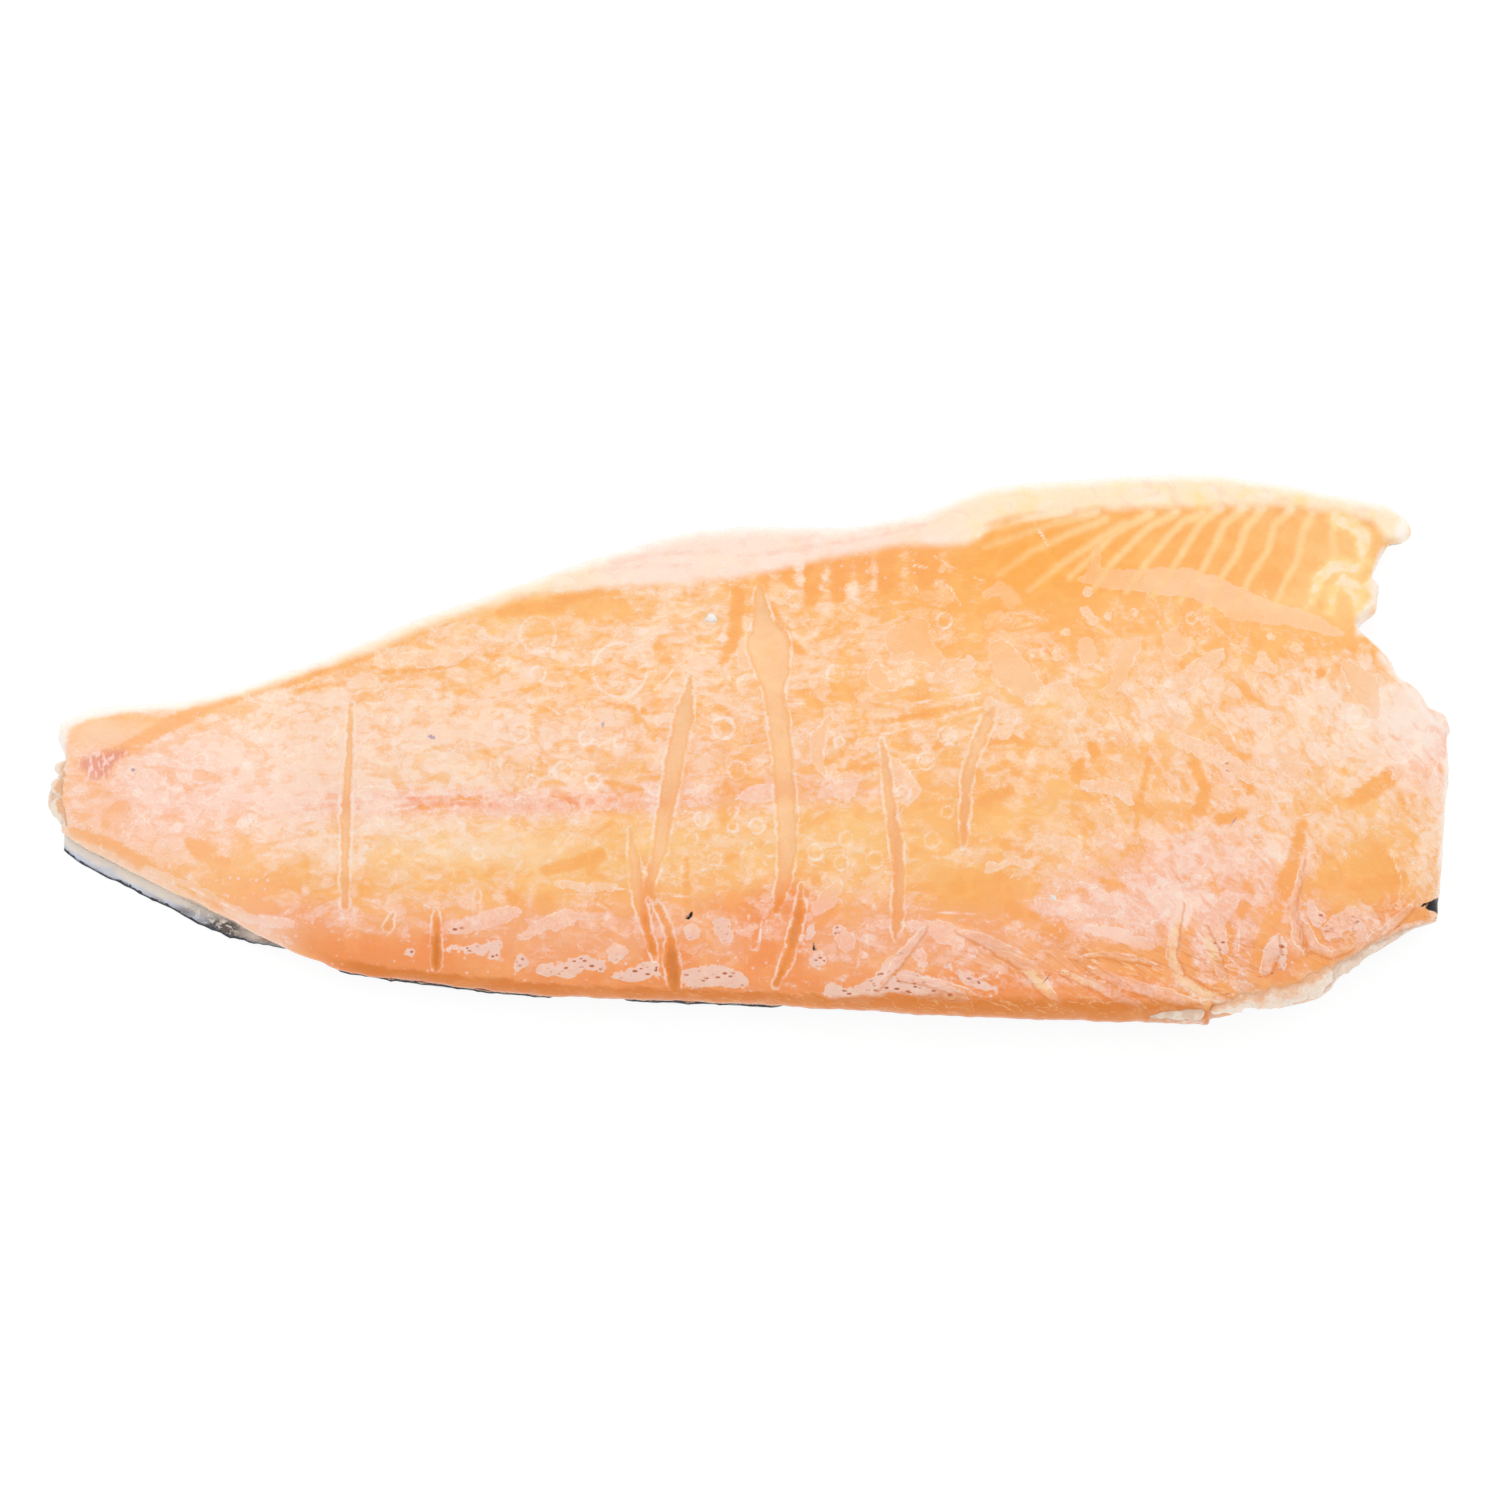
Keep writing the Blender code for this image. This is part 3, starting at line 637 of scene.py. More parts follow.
# Soft oval spots of (x, y, reach across, reach down, strength), where the flesh differs from its plain
# look. A negative strength takes away.
SOFT_SPOTS = {
    # More frost.
    "cover": (
        (270, 790, 230, 90, 0.46), (560, 720, 180, 45, 0.2), (820, 700, 200, 60, 0.02),
        (690, 640, 90, 50, 0.22), (1240, 730, 190, 75, 0.16), (1180, 865, 110, 40, 0.3),
        (1290, 850, 60, 25, 0.1), (1350, 700, 90, 70, 0.25), (870, 640, 70, 40, 0.1),
        (530, 606, 90, 14, -0.55), (495, 850, 150, 34, -0.7), (1000, 555, 90, 35, -0.5),
        (365, 958, 80, 30, -0.5), (235, 878, 75, 26, -0.4), (1365, 880, 60, 32, -0.55),
        (1160, 545, 190, 42, -1.1), (1340, 580, 60, 50, -0.9), (982, 897, 44, 24, -0.75),
        (620, 975, 260, 32, -0.34), (780, 870, 160, 45, -0.15), (1090, 965, 110, 20, -0.5),
        (1050, 610, 60, 25, -0.4), (100, 770, 35, 60, -0.3), (120, 728, 60, 16, -0.5),
        (950, 1005, 250, 16, -0.8), (1290, 640, 60, 25, -0.3), (460, 655, 60, 22, -0.2),
        (850, 565, 60, 16, -0.35), (112, 735, 60, 22, -0.5), (600, 975, 60, 14, -0.2),
        (938, 568, 34, 26, 0.45), (1005, 616, 60, 24, 0.45),
    ),
    # Paler all over.
    "veil": (
        (480, 848, 150, 28, 0.6), (420, 770, 120, 40, 0.1), (1110, 905, 90, 18, 0.25),
        (1390, 720, 50, 50, 0.3), (110, 727, 60, 16, 0.26), (1370, 930, 50, 20, 0.2),
        (1310, 930, 60, 30, 0.18), (860, 610, 30, 30, 0.1), (800, 575, 6, 20, 0.5), (826, 575, 5, 22, 0.5),
        (853, 585, 5, 24, 0.5), (874, 572, 4, 20, 0.5), (905, 570, 6, 26, 0.4), (1420, 880, 20, 30, 0.3),
        (1424, 735, 26, 30, 0.35), (1400, 700, 30, 40, 0.15), (130, 750, 60, 25, 0.18),
        (320, 700, 50, 16, 0.22), (480, 820, 60, 14, 0.14), (640, 800, 110, 22, 0.12),
        (780, 785, 70, 14, 0.1), (1280, 860, 18, 26, 0.22), (1440, 834, 14, 56, 0.28),
        (1278, 905, 16, 22, 0.2), (1200, 960, 22, 40, 0.2), (1040, 902, 30, 12, 0.18),
        (640, 590, 60, 10, 0.18), (500, 658, 80, 14, 0.14), (1120, 705, 60, 16, 0.1),
        (1290, 800, 40, 30, 0.1), (960, 620, 50, 24, -0.24), (1040, 580, 40, 20, -0.2),
        (960, 812, 90, 18, -0.16), (720, 902, 28, 15, -0.3), (480, 980, 50, 10, -0.2),
        (1120, 860, 26, 14, -0.12), (880, 600, 50, 20, -0.15), (1300, 960, 60, 26, -0.1),
        (320, 941, 28, 13, -0.42), (562, 905, 30, 12, -0.1), (80, 762, 40, 45, 0.2),
        (205, 840, 110, 60, -0.15), (240, 896, 40, 20, -0.3), (505, 640, 70, 30, 0.15),
        (490, 828, 70, 26, 0.13), (640, 798, 34, 30, 0.11), (940, 640, 90, 40, -0.13),
        (1080, 780, 70, 24, -0.19), (950, 825, 90, 17, -0.23), (1120, 868, 36, 24, -0.18),
        (560, 900, 26, 14, -0.14), (880, 903, 30, 14, -0.15), (1040, 980, 44, 13, 0.34),
        (1120, 988, 40, 12, 0.1), (1176, 945, 12, 36, 0.26), (1204, 990, 26, 10, 0.26),
        (1280, 953, 24, 32, -0.3), (1360, 941, 26, 16, -0.24), (480, 975, 70, 14, -0.18),
        (1205, 655, 60, 22, -0.12), (1200, 740, 26, 16, -0.13), (1110, 945, 50, 10, -0.1),
        (200, 780, 60, 22, -0.1), (150, 742, 40, 14, 0.14), (82, 742, 24, 14, 0.12),
        (112, 805, 24, 18, -0.16), (1202, 946, 20, 28, 0.25), (1045, 985, 50, 14, 0.14),
        (1130, 1012, 50, 9, 0.14), (1275, 985, 34, 14, -0.14), (480, 950, 60, 34, -0.12),
        (640, 942, 30, 14, -0.12), (1240, 615, 60, 10, -0.14), (470, 870, 70, 16, 0.1),
        (150, 868, 40, 14, -0.12), (1410, 905, 30, 16, -0.14), (800, 972, 24, 16, 0.08),
        (680, 940, 60, 18, -0.1), (1320, 943, 56, 23, -0.19), (1040, 820, 100, 20, -0.08),
        (1240, 620, 60, 12, -0.06), (762, 972, 18, 18, -0.25), (1005, 616, 60, 24, -0.14),
        (100, 835, 40, 24, -0.09), (400, 940, 26, 20, -0.09), (760, 915, 60, 22, -0.07),
        (640, 900, 26, 12, -0.08), (480, 820, 30, 12, 0.09), (640, 784, 30, 14, 0.07),
        (800, 784, 40, 14, 0.07), (880, 695, 30, 20, -0.08), (1200, 780, 30, 20, -0.06),
    ),
    # Fine wrinkles.
    "creased": (
        (1080, 965, 150, 26, 1.0), (1350, 935, 60, 30, 0.7), (1230, 950, 40, 40, 0.6),
        (1010, 1006, 190, 12, 1.0), (720, 1000, 150, 12, 0.6), (500, 985, 120, 10, 0.4),
        (120, 760, 60, 40, 0.3),
    ),
    # The clearest, strongest orange.
    "vivid": (
        (1030, 925, 30, 12, 0.25), (1140, 962, 40, 12, 0.35), (1285, 930, 20, 40, 0.25),
        (240, 890, 50, 18, 0.25), (1050, 556, 110, 45, 0.95), (1240, 550, 90, 36, 0.2),
        (920, 575, 110, 28, 0.25), (1290, 645, 80, 12, 0.35), (982, 897, 44, 22, 0.4),
        (1340, 872, 44, 24, 0.3), (600, 860, 40, 14, 0.2), (1110, 950, 50, 12, 0.35),
        (985, 612, 50, 22, 0.4), (1050, 585, 60, 14, 0.2), (1320, 628, 50, 12, 0.2),
        (820, 585, 60, 18, 0.25), (540, 606, 50, 9, 0.25), (365, 960, 60, 20, 0.2),
    ),
    # The deep orange and brown of the back.
    "deep": (
        (365, 960, 70, 28, 0.8), (255, 885, 65, 24, 0.35), (640, 975, 240, 22, 0.5),
        (790, 905, 55, 32, 0.65), (772, 955, 28, 46, 0.7), (672, 975, 20, 24, 1.2),
        (860, 560, 110, 30, 0.3), (470, 958, 150, 22, 0.22), (1060, 990, 160, 20, 0.5),
        (1285, 930, 35, 60, 0.35), (1345, 880, 60, 35, 0.12), (700, 920, 60, 25, 0.25),
        (436, 950, 16, 30, 0.7), (900, 1005, 160, 12, 0.4), (1240, 965, 60, 26, 0.35),
        (1400, 915, 30, 18, 0.9), (108, 812, 22, 14, 0.2), (190, 730, 40, 20, 0.2),
        (1130, 972, 50, 14, 0.2), (588, 738, 10, 12, 0.22), (840, 575, 70, 18, 0.2),
        (600, 990, 190, 9, 0.7), (1058, 932, 10, 8, 0.6), (672, 962, 12, 26, 0.7), (650, 925, 12, 30, 0.4),
        (795, 935, 10, 34, 0.6), (437, 948, 8, 26, 0.6), (700, 985, 420, 12, 0.3),
        (1020, 980, 150, 18, 0.3), (1120, 1000, 60, 10, 0.4), (1340, 960, 50, 20, 0.25),
        (270, 915, 60, 18, 0.32), (320, 940, 40, 16, 0.2), (722, 900, 30, 16, 0.2),
        (480, 944, 46, 12, 0.22), (345, 885, 12, 26, 0.25), (1110, 690, 8, 8, 0.2),
        (1180, 725, 30, 12, 0.25), (1225, 790, 14, 26, 0.35), (896, 862, 7, 70, 0.45),
        (964, 822, 7, 40, 0.4), (647, 885, 11, 28, 0.5), (650, 945, 7, 22, 0.45), (765, 978, 16, 18, 0.55),
        (668, 810, 7, 22, 0.2),
    ),
    # A turn to pink.
    "pink": (
        (600, 940, 480, 42, 0.62), (1080, 950, 320, 60, 0.42), (1200, 880, 130, 60, 0.45),
        (130, 800, 120, 90, 0.3), (500, 803, 190, 12, 0.62), (800, 790, 180, 16, 0.3),
        (1430, 740, 40, 60, 0.5), (700, 745, 240, 50, 0.22), (300, 920, 60, 20, 0.3),
        (1350, 940, 60, 30, 0.3), (1230, 765, 120, 60, 0.18), (1105, 935, 50, 8, 0.4),
        (240, 790, 210, 90, 0.22),
    ),
    # A turn to yellow.
    "yellow": (
        (480, 850, 170, 34, 0.6), (820, 845, 150, 50, 0.4), (500, 610, 130, 30, 0.4),
        (1000, 790, 200, 60, 0.12), (1340, 590, 60, 40, 0.7), (1330, 800, 100, 40, 0.25),
        (1380, 545, 60, 50, 0.3), (440, 770, 160, 25, 0.35), (1060, 700, 120, 40, 0.25),
        (120, 730, 50, 16, 0.5),
    ),
}
PLAIN_COVER = 0.52
RAGGED_EDGES = (
    (1320, 985, 110, 40, 1.6), (56, 790, 20, 50, 1.0), (1180, 1020, 60, 15, 0.8), (1412, 925, 30, 20, 0.8),
)

# Relief of the marks: the rise in metres, then the distances from the mark's edge in millimetres where it
# is full and where it ends. A negative distance is inside the mark.
MARK_RELIEF = {
    "crease": (-0.0008, -2.2, 0.4),
    "stripe": (-0.00025, -0.2, 1.0),
    "fold": (0.0004, -1.8, 1.4),
    "smooth": (0.00016, -0.4, 0.3),
    "midline": (-0.0004, 0.0, 26 * PIXEL_IN_MM),
}
RIDGE_HEIGHT = 0.00030
RIDGE_DISTANCE = 0.8
RIDGE_REACH = 0.6
FAT_RISE = 0.0006
FAT_RELIEF_EDGE = (-4.0, 1.5)
FAT_EVENNESS = 0.6
FAT_RIM_SHARE = 0.35
# Lumps of the fat: size, share and seed.
FAT_LUMPS = ((0.009, 0.5, 11), (0.004, 0.3, 12))
# The groove along the middle of the fish.
MIDLINE = ((330, 803, 5), (620, 803, 8), (1000, 796, 4))
# Waves of the face and of its edges: their size and their reach, in metres.
WAVES = ((0.034, 0.00042), (0.012, 0.00020), (0.0055, 0.00009))
EDGE_WAVES = ((0.011, 0.00055), (0.0042, 0.00035))
EDGE_WAVE_LOSS = 0.8
EDGE_WAVE_BOTTOM = (0.2, 0.9)
RELIEF_MARGIN = 0.006


def mesh_piece(name, points, faces, attributes):
    """A smooth-shaded mesh whose corners carry named values for its material."""
    mesh = bpy.data.meshes.new(name)
    mesh.from_pydata(points, [], faces)
    for key, values in attributes.items():
        layer = mesh.attributes.new(key, "FLOAT", "POINT")
        layer.data.foreach_set("value", np.asarray(values, dtype=np.float32))
    mesh.shade_smooth()
    piece = bpy.data.objects.new(name, mesh)
    bpy.context.scene.collection.objects.link(piece)
    return piece


def grid_faces(columns, rows):
    """Faces of a grid whose corners are numbered row by row within each column, facing up."""
    corner = np.arange(columns * rows).reshape(columns, rows)
    quads = np.stack([corner[:-1, :-1], corner[1:, :-1], corner[1:, 1:], corner[:-1, 1:]], axis=-1)
    return corner, quads.reshape(-1, 4).tolist()


def band_faces(upper, lower):
    """Faces between two closed rings of corners, facing out."""
    after_upper = np.roll(upper, -1)
    after_lower = np.roll(lower, -1)
    return np.stack([upper, lower, after_lower, after_upper], axis=-1).tolist()


along, across = flesh_grid()
columns, rows = along.shape
top, from_rim = flesh_top(along, across)
corner, faces = grid_faces(columns, rows)
border = loop_round(corner)
border_along = loop_round(along)
border_across = loop_round(across)

points = [top.reshape(-1, 3)]
side_share = [np.zeros(columns * rows)]
ring = border
for wall_row in range(1, WALL_ROWS + 1):
    share = wall_row / WALL_ROWS
    lower_ring = columns * rows + (wall_row - 1) * len(border) + np.arange(len(border))
    points.append(flesh_wall(border_along, border_across, share))
    side_share.append(np.full(len(border), share))
    faces += band_faces(ring, lower_ring)
    ring = lower_ring
faces.append(ring[::-1].tolist())
points = np.concatenate(points)
side_share = np.concatenate(side_share)

all_along = np.concatenate([along.reshape(-1), np.tile(border_along, WALL_ROWS)])
all_across = np.concatenate([across.reshape(-1), np.tile(border_across, WALL_ROWS)])
width_in_mm = width_at(all_along) / MILLIMETRE
x, y = picture_place(points)
on_top = side_share == 0

marks = {key: nearest_chain(x, y, chains) for key, chains in MARKS.items()}
for key, (ends, lines) in THIN_MARKS.items():
    marks[key] = nearest_chain(x, y, [tapered(line, *ends) for line in lines])
marks["ring"] = nearest_ring(x, y, RINGS)
fat_x, fat_y = np.array(FAT_EDGE).T
fat_side = np.where(y < np.interp(x, fat_x, fat_y), -1.0, 1.0)
marks["fat"] = fat_side * nearest_chain(x, y, [[(*spot, 0.0) for spot in FAT_EDGE]])
marks["fold"], marks["lean"] = nearest_fold(x, y, FOLDS)
marks = {key: distance * PIXEL_IN_MM for key, distance in marks.items()}
tones = {key: stains(x, y, spots) for key, spots in SOFT_SPOTS.items()}
tones["cover"] += PLAIN_COVER
tones["side"] = side_share
tones["from_back"] = all_across * width_in_mm
tones["from_belly"] = (1 - all_across) * width_in_mm

rim_fade = np.zeros(len(points))
rim_fade[on_top] = smooth_step(0.0, RELIEF_MARGIN, from_rim.reshape(-1))
raised_marks = marks | {
    "smooth": np.minimum(marks["film"], marks["frost"]),
    "midline": nearest_chain(x, y, [MIDLINE]) * PIXEL_IN_MM,
}
rise_of_face = RIDGE_HEIGHT * np.exp(-(((marks["crease"] - RIDGE_DISTANCE) / RIDGE_REACH) ** 2))
for key, (rise, full, none) in MARK_RELIEF.items():
    rise_of_face += rise * (1 - smooth_step(full, none, raised_marks[key]))
for number, (size, rise) in enumerate(WAVES):
    rise_of_face += rise * rough_values(points, size, number)
rise_of_face *= rim_fade
fat_share = 1 - smooth_step(*FAT_RELIEF_EDGE, marks["fat"])
fat_lumps = FAT_EVENNESS + sum(share * rough_values(points, size, seed) for size, share, seed in FAT_LUMPS)
fat_rim_fade = FAT_RIM_SHARE + (1 - FAT_RIM_SHARE) * rim_fade
rise_of_face += FAT_RISE * fat_share * fat_lumps * fat_rim_fade * on_top
points[:, 2] += rise_of_face

edge_fade = (1 - rim_fade * EDGE_WAVE_LOSS) * (1 + stains(x, y, RAGGED_EDGES))
edge_fade *= 1 - smooth_step(*EDGE_WAVE_BOTTOM, side_share)
for number, (size, reach) in enumerate(EDGE_WAVES):
    for axis in (0, 1):
        seed = 20 + 10 * axis + number
        points[:, axis] += reach * edge_fade * rough_values(points, size, seed)

flesh = mesh_piece("fillet_flesh", points, faces, marks | tones)


def screen_colour(red, green, blue):
    """A colour given as a screen shows it, from 0 to 255, in the light values that materials use."""
    shares = np.array((red, green, blue)) / 255
    light = np.where(shares <= 0.04045, shares / 12.92, ((shares + 0.055) / 1.055) ** 2.4)
    return (*light.tolist(), 1.0)


class Value:
    """What a node puts out. It adds, subtracts, multiplies and divides like a number, by one more node."""

    def __init__(self, finish, socket):
        self.finish = finish
        self.socket = socket

    def __add__(self, other):
        return self.finish.math("ADD", self, other)

    def __sub__(self, other):
        return self.finish.math("SUBTRACT", self, other)

    def __rsub__(self, other):
        return self.finish.math("SUBTRACT", other, self)

    def __mul__(self, other):
        return self.finish.math("MULTIPLY", self, other)

    def __truediv__(self, other):
        return self.finish.math("DIVIDE", self, other)

    def __rtruediv__(self, other):
        return self.finish.math("DIVIDE", other, self)

    __radd__ = __add__
    __rmul__ = __mul__


class Finish:
    """Adds the nodes of one material or node group, one after another."""

    def __init__(self, tree):
        self.tree = tree

    def add(self, kind, output, inputs, **settings):
        made = self.tree.nodes.new(kind)
        for name, value in settings.items():
            setattr(made, name, value)
        for socket, value in inputs.items():
            self.feed(made.inputs[socket], value)
        return Value(self, made.outputs[output])

    def feed(self, socket, value):
        """Links a value to a socket, or sets the socket to a plain number or colour."""
        if isinstance(value, Value):
            self.tree.links.new(value.socket, socket)
        else:
            socket.default_value = value

    def mark(self, name):
        return self.add("ShaderNodeAttribute", "Fac", {}, attribute_name=name)

    def place(self, stretch=(1.0, 1.0, 1.0), turn=0.0):
        """Places on the piece in metres, stretched and turned about the upright axis."""
        spot = self.add("ShaderNodeTexCoord", "Object", {})
        turned = {"Vector": spot, "Rotation": (0.0, 0.0, turn), "Scale": stretch}
        return self.add("ShaderNodeMapping", "Vector", turned, vector_type="TEXTURE")

    def clouds(self, place, size, detail=3.0, roughness=0.5, distortion=0.0):
        """Noise from 0 to 1 with lumps of this size in metres."""
        shape = {"Detail": detail, "Roughness": roughness, "Distortion": distortion}
        return self.add("ShaderNodeTexNoise", "Fac", {"Vector": place, "Scale": 1 / size} | shape)

    def cells(self, place, size, feature="F1"):
        inputs = {"Vector": place, "Scale": 1 / size}
        return self.add("ShaderNodeTexVoronoi", "Distance", inputs, feature=feature)

    def math(self, operation, first, second=0.0):
        return self.add("ShaderNodeMath", 0, {0: first, 1: second}, operation=operation)

    def larger(self, first, second):
        return self.math("MAXIMUM", first, second)

    def fade(self, value, start, end):
        """0 where the value is at start or before it, 1 at end or beyond."""
        inputs = {"Value": value, "From Min": start, "From Max": end}
        return self.add("ShaderNodeMapRange", "Result", inputs, interpolation_type="SMOOTHSTEP")

    def ramp(self, value, start, end):
        """The same as a fade, but an even rise."""
        return self.add("ShaderNodeMapRange", "Result", {"Value": value, "From Min": start, "From Max": end})

    def band(self, value, middle, reach):
        """1 where the value is at the middle, 0 where it is further off than the reach."""
        return self.fade(self.math("ABSOLUTE", value - middle), reach, 0.0)

    def paint(self, under, over, share):
        """One colour over another, by this share."""
        return self.add("ShaderNodeMix", 2, {0: share, 6: under, 7: over}, data_type="RGBA")

    def shaded(self, colour, shade):
        """The colour made lighter or darker by a shade about 1."""
        grey = self.add("ShaderNodeCombineColor", "Color", {"Red": shade, "Green": shade, "Blue": shade})
        both = {0: 1.0, 6: colour, 7: grey}
        return self.add("ShaderNodeMix", 2, both, data_type="RGBA", blend_type="MULTIPLY")

    def grain(self, size, strength):
        """The shade and the height of the wet grain."""
        made = self.tree.nodes.new("ShaderNodeGroup")
        made.node_tree = wet_grain
        made.inputs["Size"].default_value = size
        made.inputs["Strength"].default_value = strength
        return Value(self, made.outputs["Shade"]), Value(self, made.outputs["Height"])


def new_finish(name, constants):
    """A material with these values on its shader, and the Finish that adds its nodes."""
    material = bpy.data.materials.new(name)
    material.use_nodes = True
    shader = material.node_tree.nodes["Principled BSDF"]
    for socket, value in constants.items():
        shader.inputs[socket].default_value = value
    return material, Finish(material.node_tree)


def new_group(name, inputs, outputs):
    """An empty node group with these inputs, as (name, value), and these outputs, all plain numbers."""
    group = bpy.data.node_groups.new(name, "ShaderNodeTree")
    for socket, value in inputs:
        made = group.interface.new_socket(socket, in_out="INPUT", socket_type="NodeSocketFloat")
        made.default_value = value
    for socket in outputs:
        group.interface.new_socket(socket, in_out="OUTPUT", socket_type="NodeSocketFloat")
    work = Finish(group)
    given = [Value(work, socket) for socket in group.nodes.new("NodeGroupInput").outputs[:len(inputs)]]
    return group, work, given, group.nodes.new("NodeGroupOutput").inputs


def relief(work, height, strength):
    """The surface's directions under a relief of this height in millimetres."""
    inputs = {"Height": height, "Distance": MILLIMETRE, "Strength": strength}
    return work.add("ShaderNodeBump", "Normal", inputs)


def dress(piece, material, work, looks):
    """Feeds the looks to the material's shader and puts the material on the piece."""
    shader = material.node_tree.nodes["Principled BSDF"]
    for socket, value in looks.items():
        work.feed(shader.inputs[socket], value)
    piece.data.materials.append(material)


# Wet grain is the fine speckle under the glaze, in every piece: a shade about 1, and a height in millimetres.
GRAIN_HEIGHT = 0.06
wet_grain, work, (grain_size, grain_strength), put_out = new_group(
    "wet_grain", [("Size", 0.0006), ("Strength", 0.08)], ["Shade", "Height"]
)
fine = work.clouds(work.place(), grain_size, 4.0, 0.62) - 0.5
work.feed(put_out["Shade"], fine * grain_strength * 2.0 + 1.0)
work.feed(put_out["Height"], fine * GRAIN_HEIGHT)

# The glaze's own shine adds a little white to all that lies under it, so the colours there leave room for it.
GLAZE_SHINE = 0.035


def under_glaze(red, green, blue):
    """The paint that looks like this colour through the shine of the glaze."""
    return (*(max(value - GLAZE_SHINE, 0.0) for value in screen_colour(red, green, blue)[:3]), 1.0)


CLEAR_ORANGE = under_glaze(253, 182, 98)
CLEAR_YELLOW = under_glaze(254, 204, 134)
HOT_ORANGE = under_glaze(252, 168, 80)
DEEP_ORANGE = under_glaze(248, 148, 74)
BACK_ORANGE = under_glaze(248, 172, 120)
PALE_FROST = under_glaze(254, 216, 182)
CREAM_FROST = under_glaze(254, 219, 174)
PINK_FROST = under_glaze(253, 207, 188)
WHITE_FROST = under_glaze(255, 238, 224)
TROUGH = under_glaze(254, 205, 157)
STRIPE_PALE = under_glaze(254, 216, 156)
FAT_CREAM = under_glaze(254, 232, 200)
FAT_PINK = under_glaze(254, 228, 212)
FAT_YELLOW = under_glaze(254, 226, 158)
PORE_BROWN = under_glaze(190, 108, 80)
PATCH_PINK = under_glaze(240, 204, 190)
SIDE_SHADE_BROWN = under_glaze(208, 126, 68)
SPOT_RED = under_glaze(230, 146, 122)
SPECK_BLACK = under_glaze(44, 36, 34)
SPECK_BLUE = under_glaze(170, 150, 175)
PALE_RED = under_glaze(252, 210, 205)
EDGE_WHITE = under_glaze(255, 248, 240)
# A brown for the back's rim and creases, also used as painted shade and painted shadow.
BROWN_AND_SHADE = under_glaze(222, 130, 60)
FOLD_GREY = under_glaze(240, 190, 164)
FISSURE_RED = under_glaze(176, 92, 66)
FAT_ROSE = under_glaze(248, 208, 190)
NERVE_RED = under_glaze(246, 152, 104)
VIVID_ORANGE = under_glaze(253, 170, 44)
RIME_WHITE = under_glaze(240, 228, 214)
RIME_GREY = under_glaze(218, 190, 168)

flesh_material, work = new_finish(
    "glazed_flesh",
    {
        "IOR": 1.36,
        "Coat Roughness": 0.10,
        "Coat IOR": 1.31,
        "Subsurface Weight": 0.15,
        "Subsurface Radius": (1.0, 0.45, 0.18),
        "Subsurface Scale": 0.003,
    },
)
fat, side, lean, from_back, from_belly = (
    work.mark(name) for name in ("fat", "side", "lean", "from_back", "from_belly")
)
cover, veil, creased, vivid, deep, pink, yellow = (work.mark(name) for name in SOFT_SPOTS)
place = work.place()
lengthwise = work.add("ShaderNodeSeparateXYZ", "X", {"Vector": place})


def zone(start, full):
    """Rises from 0 to 1 between two places along the fish, in metres from its middle."""
    return work.fade(lengthwise, start, full)


to_shoulder = zone(0.075, 0.150)
from_tail = zone(-0.170, -0.070)
SLANT = math.radians(-48)


def leaning_clouds(size, stretch, detail, distortion):
    """Noise about 0, drawn out along the fish, or slanting down towards the shoulder."""
    level = work.clouds(work.place((stretch, 1.0, 1.0)), size, detail, 0.52, distortion)
    slanting = work.clouds(work.place((stretch, 1.0, 1.0), SLANT), size, detail, 0.52, distortion)
    return level * (1.0 - to_shoulder) + slanting * to_shoulder - 0.5


edge_wobble = work.clouds(place, 0.0024, 3.0, 0.55) - 0.5


def ragged(name, wobble):
    """Millimetres to the edge of a mark, made ragged by this much."""
    return work.mark(name) + edge_wobble * wobble


def mark_mask(name, wobble, outside, inside):
    """The share of a mark with ragged edges: 0 this far outside its edge and 1 this far inside."""
    return work.fade(ragged(name, wobble), outside, inside)


broad = work.clouds(place, 0.022, 3.0, 0.55) - 0.5
middling = work.clouds(work.place((1.4, 1.0, 1.0)), 0.005, 3.0, 0.55, 0.3) - 0.5
warm = leaning_clouds(0.0068, 1.7, 3.0, 0.8)
speckle = work.clouds(place, 0.0011, 3.0, 0.65) - 0.5
fibre = work.clouds(work.place((5.0, 1.0, 1.0)), 0.0012, 3.0, 0.55) - 0.5

# Muscle seen through clear glaze.
yellow_share = yellow + 0.22 + broad * 1.6
colour = work.paint(CLEAR_ORANGE, CLEAR_YELLOW, work.fade(yellow_share, 0.0, 1.0))
colour = work.paint(colour, BACK_ORANGE, work.fade(pink + broad * 0.5, 0.08, 0.72))
hot = work.fade(warm + fibre * 0.25, -0.02, 0.22)
colour = work.paint(colour, HOT_ORANGE, hot * 0.5)
colour = work.paint(colour, VIVID_ORANGE, vivid * (0.85 + middling * 1.2))
colour = work.paint(colour, DEEP_ORANGE, work.fade(deep + middling * 0.6, 0.05, 0.9))
streak_mask = mark_mask("streak", 2.6, 1.1, -1.0)
colour = work.paint(colour, HOT_ORANGE, streak_mask * (0.65 + middling))
colour = work.shaded(colour, 1.0 + fibre * 0.1)

# Frost lies in smooth flecks with paler borders, with winding lines, round dots and a fine speckle; small
# painted highlights (glints) are added to it.
more_cover = cover - 0.5
fleck_level = leaning_clouds(0.0088, 1.5, 2.0, 1.0) + more_cover * 0.26
fleck = work.fade(fleck_level, -0.015, 0.035)
fleck_border = work.band(fleck_level, 0.012, 0.012)
soft_fleck = work.fade(fleck_level, -0.16, 0.14)
small_level = leaning_clouds(0.0034, 1.6, 2.0, 0.8) + more_cover * 0.16
small_fleck = work.fade(small_level, 0.01, 0.07)
small_border = work.band(small_level, 0.055, 0.020)
bare_fleck = work.fade(small_level, -0.055, -0.095)
winding = work.clouds(work.place((1.4, 1.0, 1.0), math.radians(15)), 0.0125, 2.0, 0.5, 1.6)
winding_lines = work.band(winding, 0.5, 0.01) * work.fade(middling, -0.06, 0.08)
dot_spread = work.fade(work.clouds(place, 0.030, 2.0), 0.44, 0.56)
